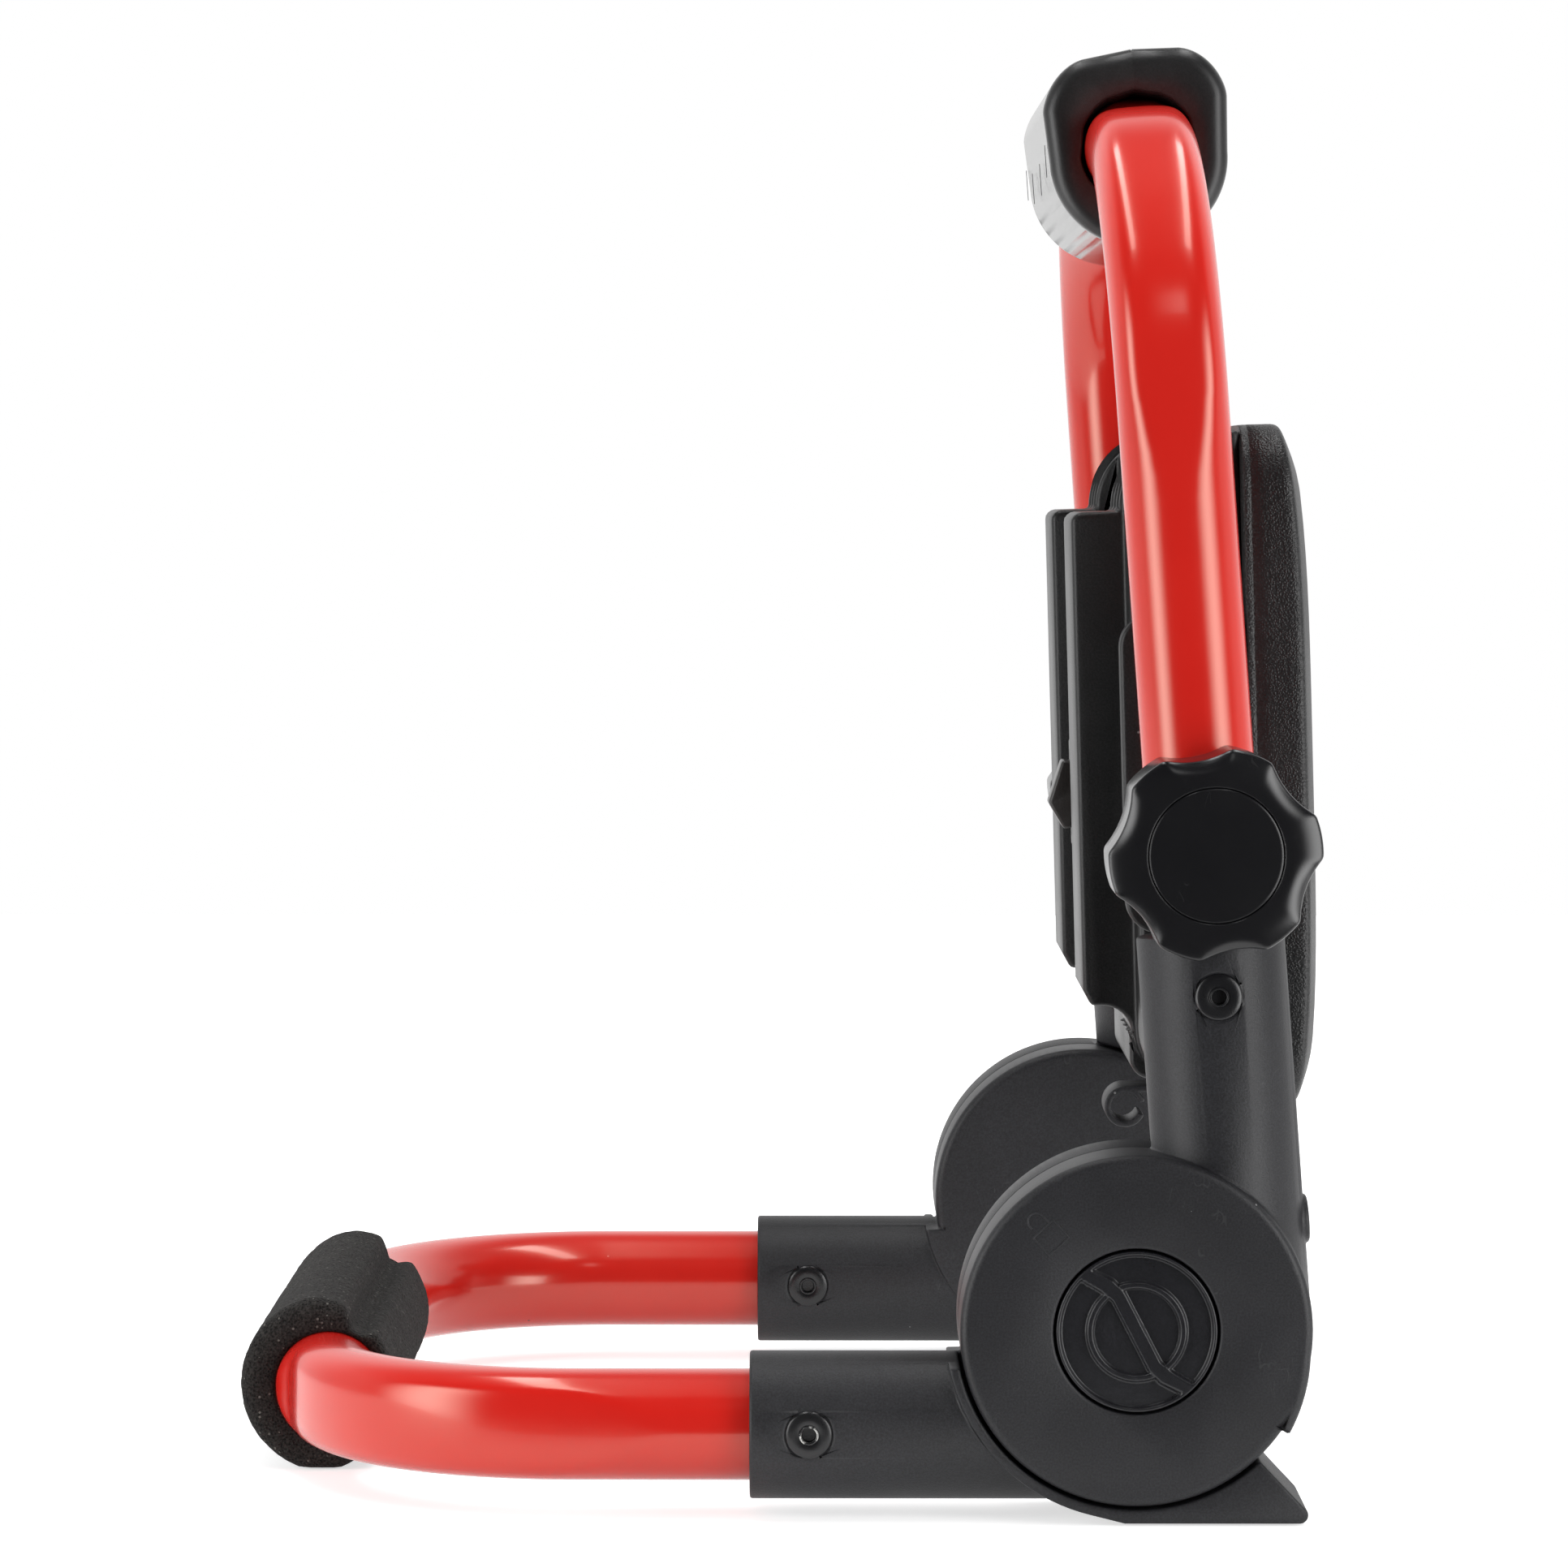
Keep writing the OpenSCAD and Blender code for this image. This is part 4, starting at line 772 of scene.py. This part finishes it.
def foam_sleeve():
    """A sleeve with soft dents, flat where it rests; rows are (along, radius or cut, hole)."""
    half, end_round, along = FOAM_LENGTH / 2, FOAM_END_ROUND, 110
    ends = [(-half + 0.6, FOAM_HOLE, True), (-half, FOAM_HOLE + 0.9, True)]
    for i in range(9):
        turn = math.pi / 2 * i / 8
        ends.append((-half + end_round * (1 - math.cos(turn)), end_round * (1 - math.sin(turn)), False))
    middle = [(-half + end_round + (FOAM_LENGTH - 2 * end_round) * i / along, 0.0, False)
              for i in range(1, along)]
    rings = []
    for y, value, hole in ends + middle + [(-y, value, hole) for y, value, hole in reversed(ends)]:
        ring = []
        for angle in foam_angles():
            radius = value
            if not hole:
                skin = foam_radius(angle)
                spot = Vector((angle * 14, y, 3.0))
                dent = 0.12 + 0.12 * noise.noise(spot * 0.9) + 0.10 * noise.noise(spot * 0.2)
                thick = (skin - FOAM_HOLE) / (FOAM_R - FOAM_HOLE)
                radius = max(skin - value * thick - dent, FOAM_HOLE + 0.5)
            ring.append((radius * math.cos(angle), y, max(radius * math.sin(angle), -FOAM_R)))
        rings.append(ring)
    bm = bmesh.new()
    loft(bm, rings + rings[:1])
    place = Matrix.Translation((FOLD.x - BASE_REACH, 0, FOAM_R))
    sleeve = piece_from("foam_sleeve", bm, place, FINISH["black_foam"], "base", ["base_foam_sleeve"],
                        sharp=70)


# Grip

def grip_outline(ribbed):
    """Points and outward angles of the grip's section, from its front over the top and round below."""
    points = []
    for side, r, start in ((1, GRIP_ROUNDS[0], 0.0), (-1, GRIP_ROUNDS[1], 0.5)):
        for i in range(25):
            angle = math.pi * (start + 0.5 * i / 24)
            points.append((side * (GRIP_W / 2 - r) + r * math.cos(angle),
                           GRIP_H / 2 - r + r * math.sin(angle), angle))
        if side == 1:
            points += [(u, GRIP_H / 2 - deep, math.pi / 2) for u, deep in PARTING_CUTS]
    low = GRIP_LOW_R - GRIP_H / 2
    steps, rib_start, rib_run = 240, 30, 60
    for i in range(steps + 1):
        angle = math.pi * (1 + i / steps)
        rib = 0.0
        if ribbed and rib_start < i < rib_start + rib_run:
            rib = max(0.0, math.sin((i - rib_start) / rib_run * GRIP_RIBS * math.pi)) ** 0.5
        seam = SEAM_DEPTH if abs(i - steps / 2) < 2 else 0.0
        radius = GRIP_LOW_R - RIB_DEPTH * rib - seam
        points.append((radius * math.cos(angle), low + radius * math.sin(angle), angle))
    return [(u, v - GRIP_CROWN * (((u - GRIP_CREST) / (GRIP_W / 2)) ** 2 - 0.1) * step_up(v, 2.0, 14.0), angle)
            for u, v, angle in points]


def grip():
    """Both shells as one skin: the holes at the ends, rounded rims and the ribbed middle."""
    half, end_round = GRIP_LENGTH / 2, GRIP_END_ROUND
    ends = [("hole", -half + 9.0, TUBE_R + 0.15), ("hole", -half + 0.5, GRIP_MOUTH),
            ("hole", -half, GRIP_MOUTH + 0.5)]
    for i in range(11):
        turn = math.pi / 2 * i / 10
        ends.append(("plain", -half + end_round * (1 - math.cos(turn)), end_round * (1 - math.sin(turn))))
    ends += [("plain", -half + 4.0, 0.0), ("ribbed", -half + 5.0, 0.0)]
    rings = []
    for kind, y, value in ends + [(kind, -y, value) for kind, y, value in reversed(ends)]:
        outline = grip_outline(kind == "ribbed")
        if kind == "hole":
            ways = [Vector((u, v)).normalized() for u, v, angle in outline]
            rings.append([(value * way.x, y, value * way.y) for way in ways])
        else:
            rings.append([(u - value * math.cos(angle), y, v - value * math.sin(angle))
                          for u, v, angle in outline])
    bm = bmesh.new()
    loft(bm, rings + rings[:1])
    place = handle_place() @ Matrix.Translation((TUBE_OFFSET, 0, HANDLE_RISE))
    piece_from("grip_shells", bm, place, FINISH["grip_plastic"], "handle_frame",
               ["grip_front_shell", "grip_rear_shell"], sharp=50)
    # Painted shade: thin dark sheets on the rear side stand in for the shade inside the grip's slots.
    spots = [(MM * (place @ Vector((-GRIP_W / 2, y, z))), (0.0, -HANDLE_LEAN, 0.0))
             for y, z in GRIP_SLOTS]
    repeated("grip_slots", slot_shade_sheet, spots, FINISH["painted_slot_shade"], "handle_frame", ())


def slot_shade_sheet(bm):
    """A thin near-black sheet on the grip's rear side: painted shade standing in for a narrow upright slot."""
    bmesh.ops.create_cube(bm, size=1.0, matrix=Matrix.Diagonal((*GRIP_SLOT, 1.0)))


# Knobs

def knob_outline(angle):
    """Radius of a knob's rim: round lobes with hollows between them."""
    step = 2 * math.pi / KNOB_LOBES
    off = (angle - KNOB_TURNED + step / 2) % step - step / 2
    far = KNOB_R + KNOB_HOLLOW_R - KNOB_SCALLOP
    inside = KNOB_HOLLOW_R ** 2 - (far * math.sin(off)) ** 2
    if inside <= 0:
        return KNOB_R
    return soft_min(KNOB_R, far * math.cos(off) - math.sqrt(inside), 0.7)


def knob_body(bm):
    """Rows of (height, plain radius, share of the lobed outline), from the hub round to the cap's seat."""
    hub, front = KNOB_HUB_R, KNOB_FRONT
    rows = [(KNOB_INNER, 0.0, 0.0), (KNOB_INNER, hub - 0.6, 0.0), (KNOB_INNER + 0.45, hub, 0.0),
            (KNOB_BACK, hub, 0.0)]
    rows += [(KNOB_BACK + rise, -inset, 1.0) for rise, inset in KNOB_BACK_ROLL]
    shoulder = front - KNOB_DOME - KNOB_EDGE
    for i in range(9):
        turn = math.radians(64) * i / 8
        rows.append((shoulder + KNOB_EDGE * math.sin(turn), -KNOB_EDGE * (1 - math.cos(turn)), 1.0))
    low, inset = rows[-1][:2]
    crest = front - 0.04
    for i in range(1, 17):
        part = i / 16
        rows.append((crest - (crest - low) * (1 - part) ** 2, KNOB_FACE_R * part + inset * (1 - part),
                     1.0 - part))
    rows += [(front - 0.03, CAP_R + 0.2, 0.0), (front - 0.4, CAP_R + 0.08, 0.0),
             (front - CAP_SEAT, CAP_R - 0.5, 0.0), (front - CAP_SEAT, 0.0, 0.0)]
    rings = []
    for z, plain, share in rows:
        reach = [(plain + share * knob_outline(a), a) for a in around(240)]
        rings.append([(r * math.cos(a), r * math.sin(a), z) for r, a in reach])
    loft(bm, rings)


def knob_cap(bm):
    top = KNOB_FRONT
    lathe(bm, [(0, top - 0.8), (CAP_R - 0.35, top - 0.8), (CAP_R, top - 0.5), (CAP_R - 0.02, top - 0.2),
               (CAP_R - 0.2, top - 0.05), (CAP_R - 0.6, top - 0.01), (CAP_R * 0.6, top), (0, top)], 128)


def knobs():
    for word, side in SIDES.items():
        place = side_place(side, TILT, HANDLE_LEAN)
        for name, make in (("knob", knob_body), ("knob_cap", knob_cap)):
            bm = bmesh.new()
            make(bm)
            piece_from(f"{name}_{word}_gloss", bm, place, FINISH["knob_gloss"], "knob_" + word,
                       [f"{name}_{word}"], sharp=50)


# Dials

def dial_ridge():
    half = [Vector(point) for point in RIDGE_HALF]
    turned = Matrix.Rotation(-HANDLE_LEAN, 2)
    return [turned @ point for point in half + [-point for point in half]]


def inside_distance(point, outline):
    """Distance to a closed outline, positive inside."""
    inside = False
    best = 1e9
    for a, b in zip(outline, outline[1:] + outline[:1]):
        edge = b - a
        share = max(0.0, min(1.0, (point - a).dot(edge) / edge.length_squared))
        best = min(best, (point - a - share * edge).length)
        if (a.y > point.y) != (b.y > point.y) and point.x < a.x + (point.y - a.y) / edge.y * edge.x:
            inside = not inside
    return best if inside else -best


def dial_face(bm):
    """A dished disc with a raised ring and an S-shaped finger ridge."""
    ridge = dial_ridge()
    rows, angles = 84, around(300)
    rings = [[(r * math.cos(a), r * math.sin(a), DIAL_LOW) for a in angles] for r in (0, DIAL_R - 0.5, DIAL_R)]
    for k in range(rows + 1):
        r = DIAL_R * (1 - k / rows)
        rim = step_up(r, DIAL_R - 1.0, DIAL_R - 0.55)
        band = 0.85 * (1 - step_up(abs(r - DIAL_RING_R), 0.4, 0.8))
        top = DIAL_TOP - (0.27 if k == 0 else 0.02)
        ring = []
        for angle in angles:
            spot = Vector((r * math.cos(angle), r * math.sin(angle)))
            bar = step_up(inside_distance(spot, ridge), -0.2, 0.25) * (1.0 if r < DIAL_R - 0.4 else rim)
            ring.append((spot.x, spot.y, top - DIAL_DISH * (1 - max(rim, band, bar))))
        rings.append(ring)
    loft(bm, rings)


def dials():
    for word, side in SIDES.items():
        bm = bmesh.new()
        dial_face(bm)
        piece_from(f"lock_dial_{word}_face", bm, side_place(side, FOLD, HANDLE_LEAN), FINISH["dial_nylon"],
                   "lock_dial_" + word, [f"lock_dial_{word}"], sharp=60)


# Rivets

def rivet_head(bm):
    """Low flange round a hollow stem, from its seat at z = 0."""
    lathe(bm, RIVET_HEAD, 64)


def rivet_stem(bm):
    """Rim of the rivet's tubular stem, just inside the flange."""
    lathe(bm, RIVET_STEM, 48)


def rivets():
    base = [side_place(side, FOLD) @ Vector((-RIVET_AT, -TUBE_OFFSET, 0)) for side in SIDES.values()]
    handle = [side_place(side, FOLD, HANDLE_LEAN) @ Vector((TUBE_OFFSET, RIVET_AT, 0))
              for side in SIDES.values()]
    for word, body, centres in (("base", "base", base), ("handle", "handle_frame", handle)):
        spots = [(MM * (centre + Vector((0, out * RIVET_SEAT, 0))), (-out * math.pi / 2, 0.0, 0.0))
                 for centre in centres for out in (-1, 1)]
        black = FINISH["black_rivet"]
        repeated(word + "_rivet_heads", rivet_head, spots, black, body, [word + "_rivets"])
        worn = 1 if word == "base" else 0
        repeated(word + "_rivet_stems", rivet_stem, spots[worn:], black, body, ())
        if worn:
            repeated("worn_rivet_stem", rivet_stem, spots[:1], FINISH["worn_rivet"], body, ())


# Padlock signs

def padlock_signs():
    """A plain raised padlock outline on each hinge, which shows where the dial locks."""
    r, top = PADLOCK_HOOP_R, PADLOCK_CASE[0][1]
    long_leg, short_leg = PADLOCK_LEGS
    turns = [math.pi * i / 12 for i in range(13)]
    hoop = [(r * math.cos(turn), top + long_leg + r * math.sin(turn)) for turn in turns]
    finish = FINISH["hinge_nylon"]
    sizes = {"Tube Radius": 0.2 * MM, "Sides": 10, "Flattening": 0.0, "Shoulder": 0.0, "Finish": finish}
    for word, side in SIDES.items():
        turned = side_place(side, FOLD, HANDLE_LEAN) @ Matrix.Rotation(PADLOCK_TURN, 4, "Z")
        place = turned @ Matrix.Translation((0, PADLOCK_AT, DIAL_TOP - 0.06))
        for part, points in (("hoop", [(r, top)] + hoop + [(-r, top + short_leg)]), ("case", PADLOCK_CASE)):
            name = f"padlock_{part}_{word}"
            rows = [(u, v, (0.0, 0.0), 0.0) for u, v in points]
            mesh = grown_mesh(name, path_mesh(rows, place), BENT_TUBE, sizes)
            finish_piece(name, mesh, finish, "handle_frame", ())


# Lamp

def rounded_ring(x, inset, steps=12, run=18):
    """A rounded rectangle of the front frame, drawn in by an inset."""
    half_y, half_z = FRAME_HALF_Y - inset, FRAME_HALF_Z - inset
    r = max(FRAME_ROUND - inset, 3.0)
    arcs = []
    for sy, sz, start in ((1, 1, 0.0), (-1, 1, 0.5), (-1, -1, 1.0), (1, -1, 1.5)):
        turns = [math.pi * (start + 0.5 * i / steps) for i in range(steps + 1)]
        y, z = sy * (half_y - r), LAMP_UP + sz * (half_z - r)
        arcs.append([Vector((x, y + r * math.cos(turn), z + r * math.sin(turn))) for turn in turns])
    ring = []
    for arc, following in zip(arcs, arcs[1:] + arcs[:1]):
        ring += arc + [arc[-1].lerp(following[0], i / run) for i in range(1, run)]
    return ring


def crowned(point):
    """Draw the front of the frame back towards its top and bottom."""
    x, y, z = point
    return (x - FRAME_CROWN * ((z - LAMP_UP) / FRAME_HALF_Z) ** 4 * step_up(x, 13.0, 19.5), y, z)


def front_frame():
    groove = FRAME_BACK + 1.7
    rows = [(FRAME_BACK, REBATE_IN), (FRAME_BACK, 0.6), (FRAME_BACK + 0.4, 0.06)]
    rows += [(groove + off, deep) for off, deep in FRAME_GROOVE] + FRAME_ROLL
    rows += [(21.0, WINDOW_IN), (LIP_BACK, WINDOW_IN), (LIP_BACK, REBATE_IN), (FRAME_BACK, REBATE_IN)]
    bm = bmesh.new()
    loft(bm, [[crowned(point) for point in rounded_ring(x, inset)] for x, inset in rows])
    piece_from("front_frame_moulded", bm, lamp_place(), FINISH["frame_black"], "lamp_head", ["front_frame"],
               sharp=45)


def moulded_nodes():
    for node, width, body in SOFT_NODES:
        softened_node(node, width, body)


# Stage

def white_for(tree, ray, other=None):
    """Mask of one or two kinds of rays."""
    path = tree.nodes.new("ShaderNodeLightPath").outputs
    return math_node(tree, "MAXIMUM", path[ray], path[other]) if other else path[ray]


def floor():
    mesh = bpy.data.meshes.new("studio_floor")
    mesh.from_pydata([(x, y, FLOOR_Z) for x, y in FLOOR_CORNERS], [], [(0, 1, 2, 3)])
    ground = bpy.data.objects.new("studio_floor", mesh)
    bpy.context.scene.collection.objects.link(ground)
    finish, tree, shader = new_finish("studio_white", Base_Color=(0.80, 0.80, 0.80, 1.0), Roughness=0.9,
                                      Specular_IOR_Level=0.0)
    shine = put(tree, "ShaderNodeEmission", None, {"Color": (1.0, 1.0, 1.0, 1.0)})
    seen = scaled(tree, white_for(tree, "Is Camera Ray"), 0.62)
    mirrored = scaled(tree, white_for(tree, "Is Glossy Ray", "Is Transmission Ray"), 0.45)
    glow = scaled(tree, white_for(tree, "Is Diffuse Ray"), 0.1)
    feed(tree, shine, Strength=math_node(tree, "ADD", math_node(tree, "ADD", seen, mirrored), glow))
    both = put(tree, "ShaderNodeAddShader", None, {0: shader.outputs[0], 1: shine.outputs[0]})
    tree.links.new(both.outputs[0], tree.nodes["Material Output"].inputs["Surface"])
    mesh.materials.append(finish)


def surroundings():
    """White behind and beside the light, and a dark camera side."""
    world = bpy.data.worlds.new("studio")
    bpy.context.scene.world = world
    world.use_nodes = True
    tree = world.node_tree
    background = tree.nodes["Background"]
    way = put(tree, "ShaderNodeTexCoord").outputs["Generated"]
    _, y, z = put(tree, "ShaderNodeSeparateXYZ", None, {0: way}).outputs
    mirrored = white_for(tree, "Is Glossy Ray")
    camera_ray = white_for(tree, "Is Camera Ray")
    # What lights the object: little from the camera's side, more from above, but no bright sky in reflections
    level = ranged(tree, y, -0.35, 0.35, 0.07, 0.85, True)
    dark_sky = scaled(tree, mirrored, ranged(tree, z, 0.3, 0.7, 1.0, 0.15, True))
    light_sky = scaled(tree, math_node(tree, "SUBTRACT", 1.0, mirrored),
                       ranged(tree, z, 0.3, 0.9, 1.0, 1.9, True))
    level = scaled(tree, level, math_node(tree, "ADD", dark_sky, light_sky))
    # What is seen behind it, plainly or mirrored
    behind = ranged(tree, y, -0.1, 0.35, 0.0, 1.0, True)
    low = scaled(tree, ranged(tree, z, 0.5, 0.85, 1.0, 0.15, True), ranged(tree, y, 0.3, 0.8, 0.7, 1.0, True))
    seen = scaled(tree, white_for(tree, "Is Glossy Ray", "Is Transmission Ray"), behind)
    mask = math_node(tree, "MAXIMUM", seen, camera_ray)
    dim = scaled(tree, math_node(tree, "SUBTRACT", 1.0, mask), level)
    white = math_node(tree, "MAXIMUM", scaled(tree, mask, low), camera_ray)
    background.inputs["Color"].default_value = (1.0, 1.0, 1.0, 1.0)
    feed(tree, background, Strength=math_node(tree, "ADD", dim, white))


def softbox(name, at, aim, width, height, level, fade):
    """A lamp panel: the brightness of its middle, and the shares of its width and height that fade out."""
    lamp = bpy.data.lights.new(name, "AREA")
    lamp.shape = "RECTANGLE"
    lamp.size = width
    lamp.size_y = height
    lamp.energy = level * math.pi * width * height
    lamp.use_nodes = True
    tree = lamp.node_tree
    u, v, _ = put(tree, "ShaderNodeSeparateXYZ", None,
                  {0: put(tree, "ShaderNodeNewGeometry").outputs["Parametric"]}).outputs
    mask = 1.0
    for place, share in ((u, fade[0]), (math_node(tree, "SUBTRACT", 1.0, u), fade[0]),
                         (math_node(tree, "SUBTRACT", 1.0, v), fade[1])):
        mask = scaled(tree, mask, ranged(tree, place, 0.0, share, 0.0, 1.0, True))
    feed(tree, tree.nodes["Emission"], Strength=mask)
    box = bpy.data.objects.new(name, lamp)
    bpy.context.scene.collection.objects.link(box)
    box.location = at
    box.rotation_euler = (Vector(aim) - Vector(at)).to_track_quat("-Z", "Y").to_euler()


def studio():
    floor()
    surroundings()
    for word, turn, reach in (("left", -62.0, 0.72), ("right", 51.0, 0.78)):
        way = Vector((math.sin(math.radians(turn)), -math.cos(math.radians(turn)), 0.0))
        softbox(word + "_soft_box", LIGHT_MIDDLE + LIGHT_AWAY * way, LIGHT_MIDDLE, reach, 1.1, 6.3, (0.5, 0.3))
        x = -0.20 if word == "left" else 0.28
        softbox(word + "_strip", (x, -0.04, 1.0), (x, -0.04, 0.0), 0.16, 0.92, 7.5, (0.12, 0.02))
    softbox("front_soft_box", (0.14, -0.85, 0.85), (0.07, -0.1, 0.2), 0.22, 0.2, 3.0, (0.5, 0.5))


def camera():
    lens = bpy.data.cameras.new("photo_camera")
    lens.sensor_fit = "HORIZONTAL"
    lens.sensor_width = 36.0
    lens.lens = CAMERA_LENS
    lens.clip_start = 0.01
    lens.clip_end = 50.0
    view = bpy.data.objects.new("photo_camera", lens)
    bpy.context.scene.collection.objects.link(view)
    view.location = CAMERA_AT
    view.rotation_euler = CAMERA_TURN
    bpy.context.scene.camera = view


bpy.context.scene.view_settings.view_transform = "Standard"
camera()
dress_nodes()
tubes()
foam_sleeve()
grip()
knobs()
dials()
rivets()
padlock_signs()
front_frame()
moulded_nodes()
studio()
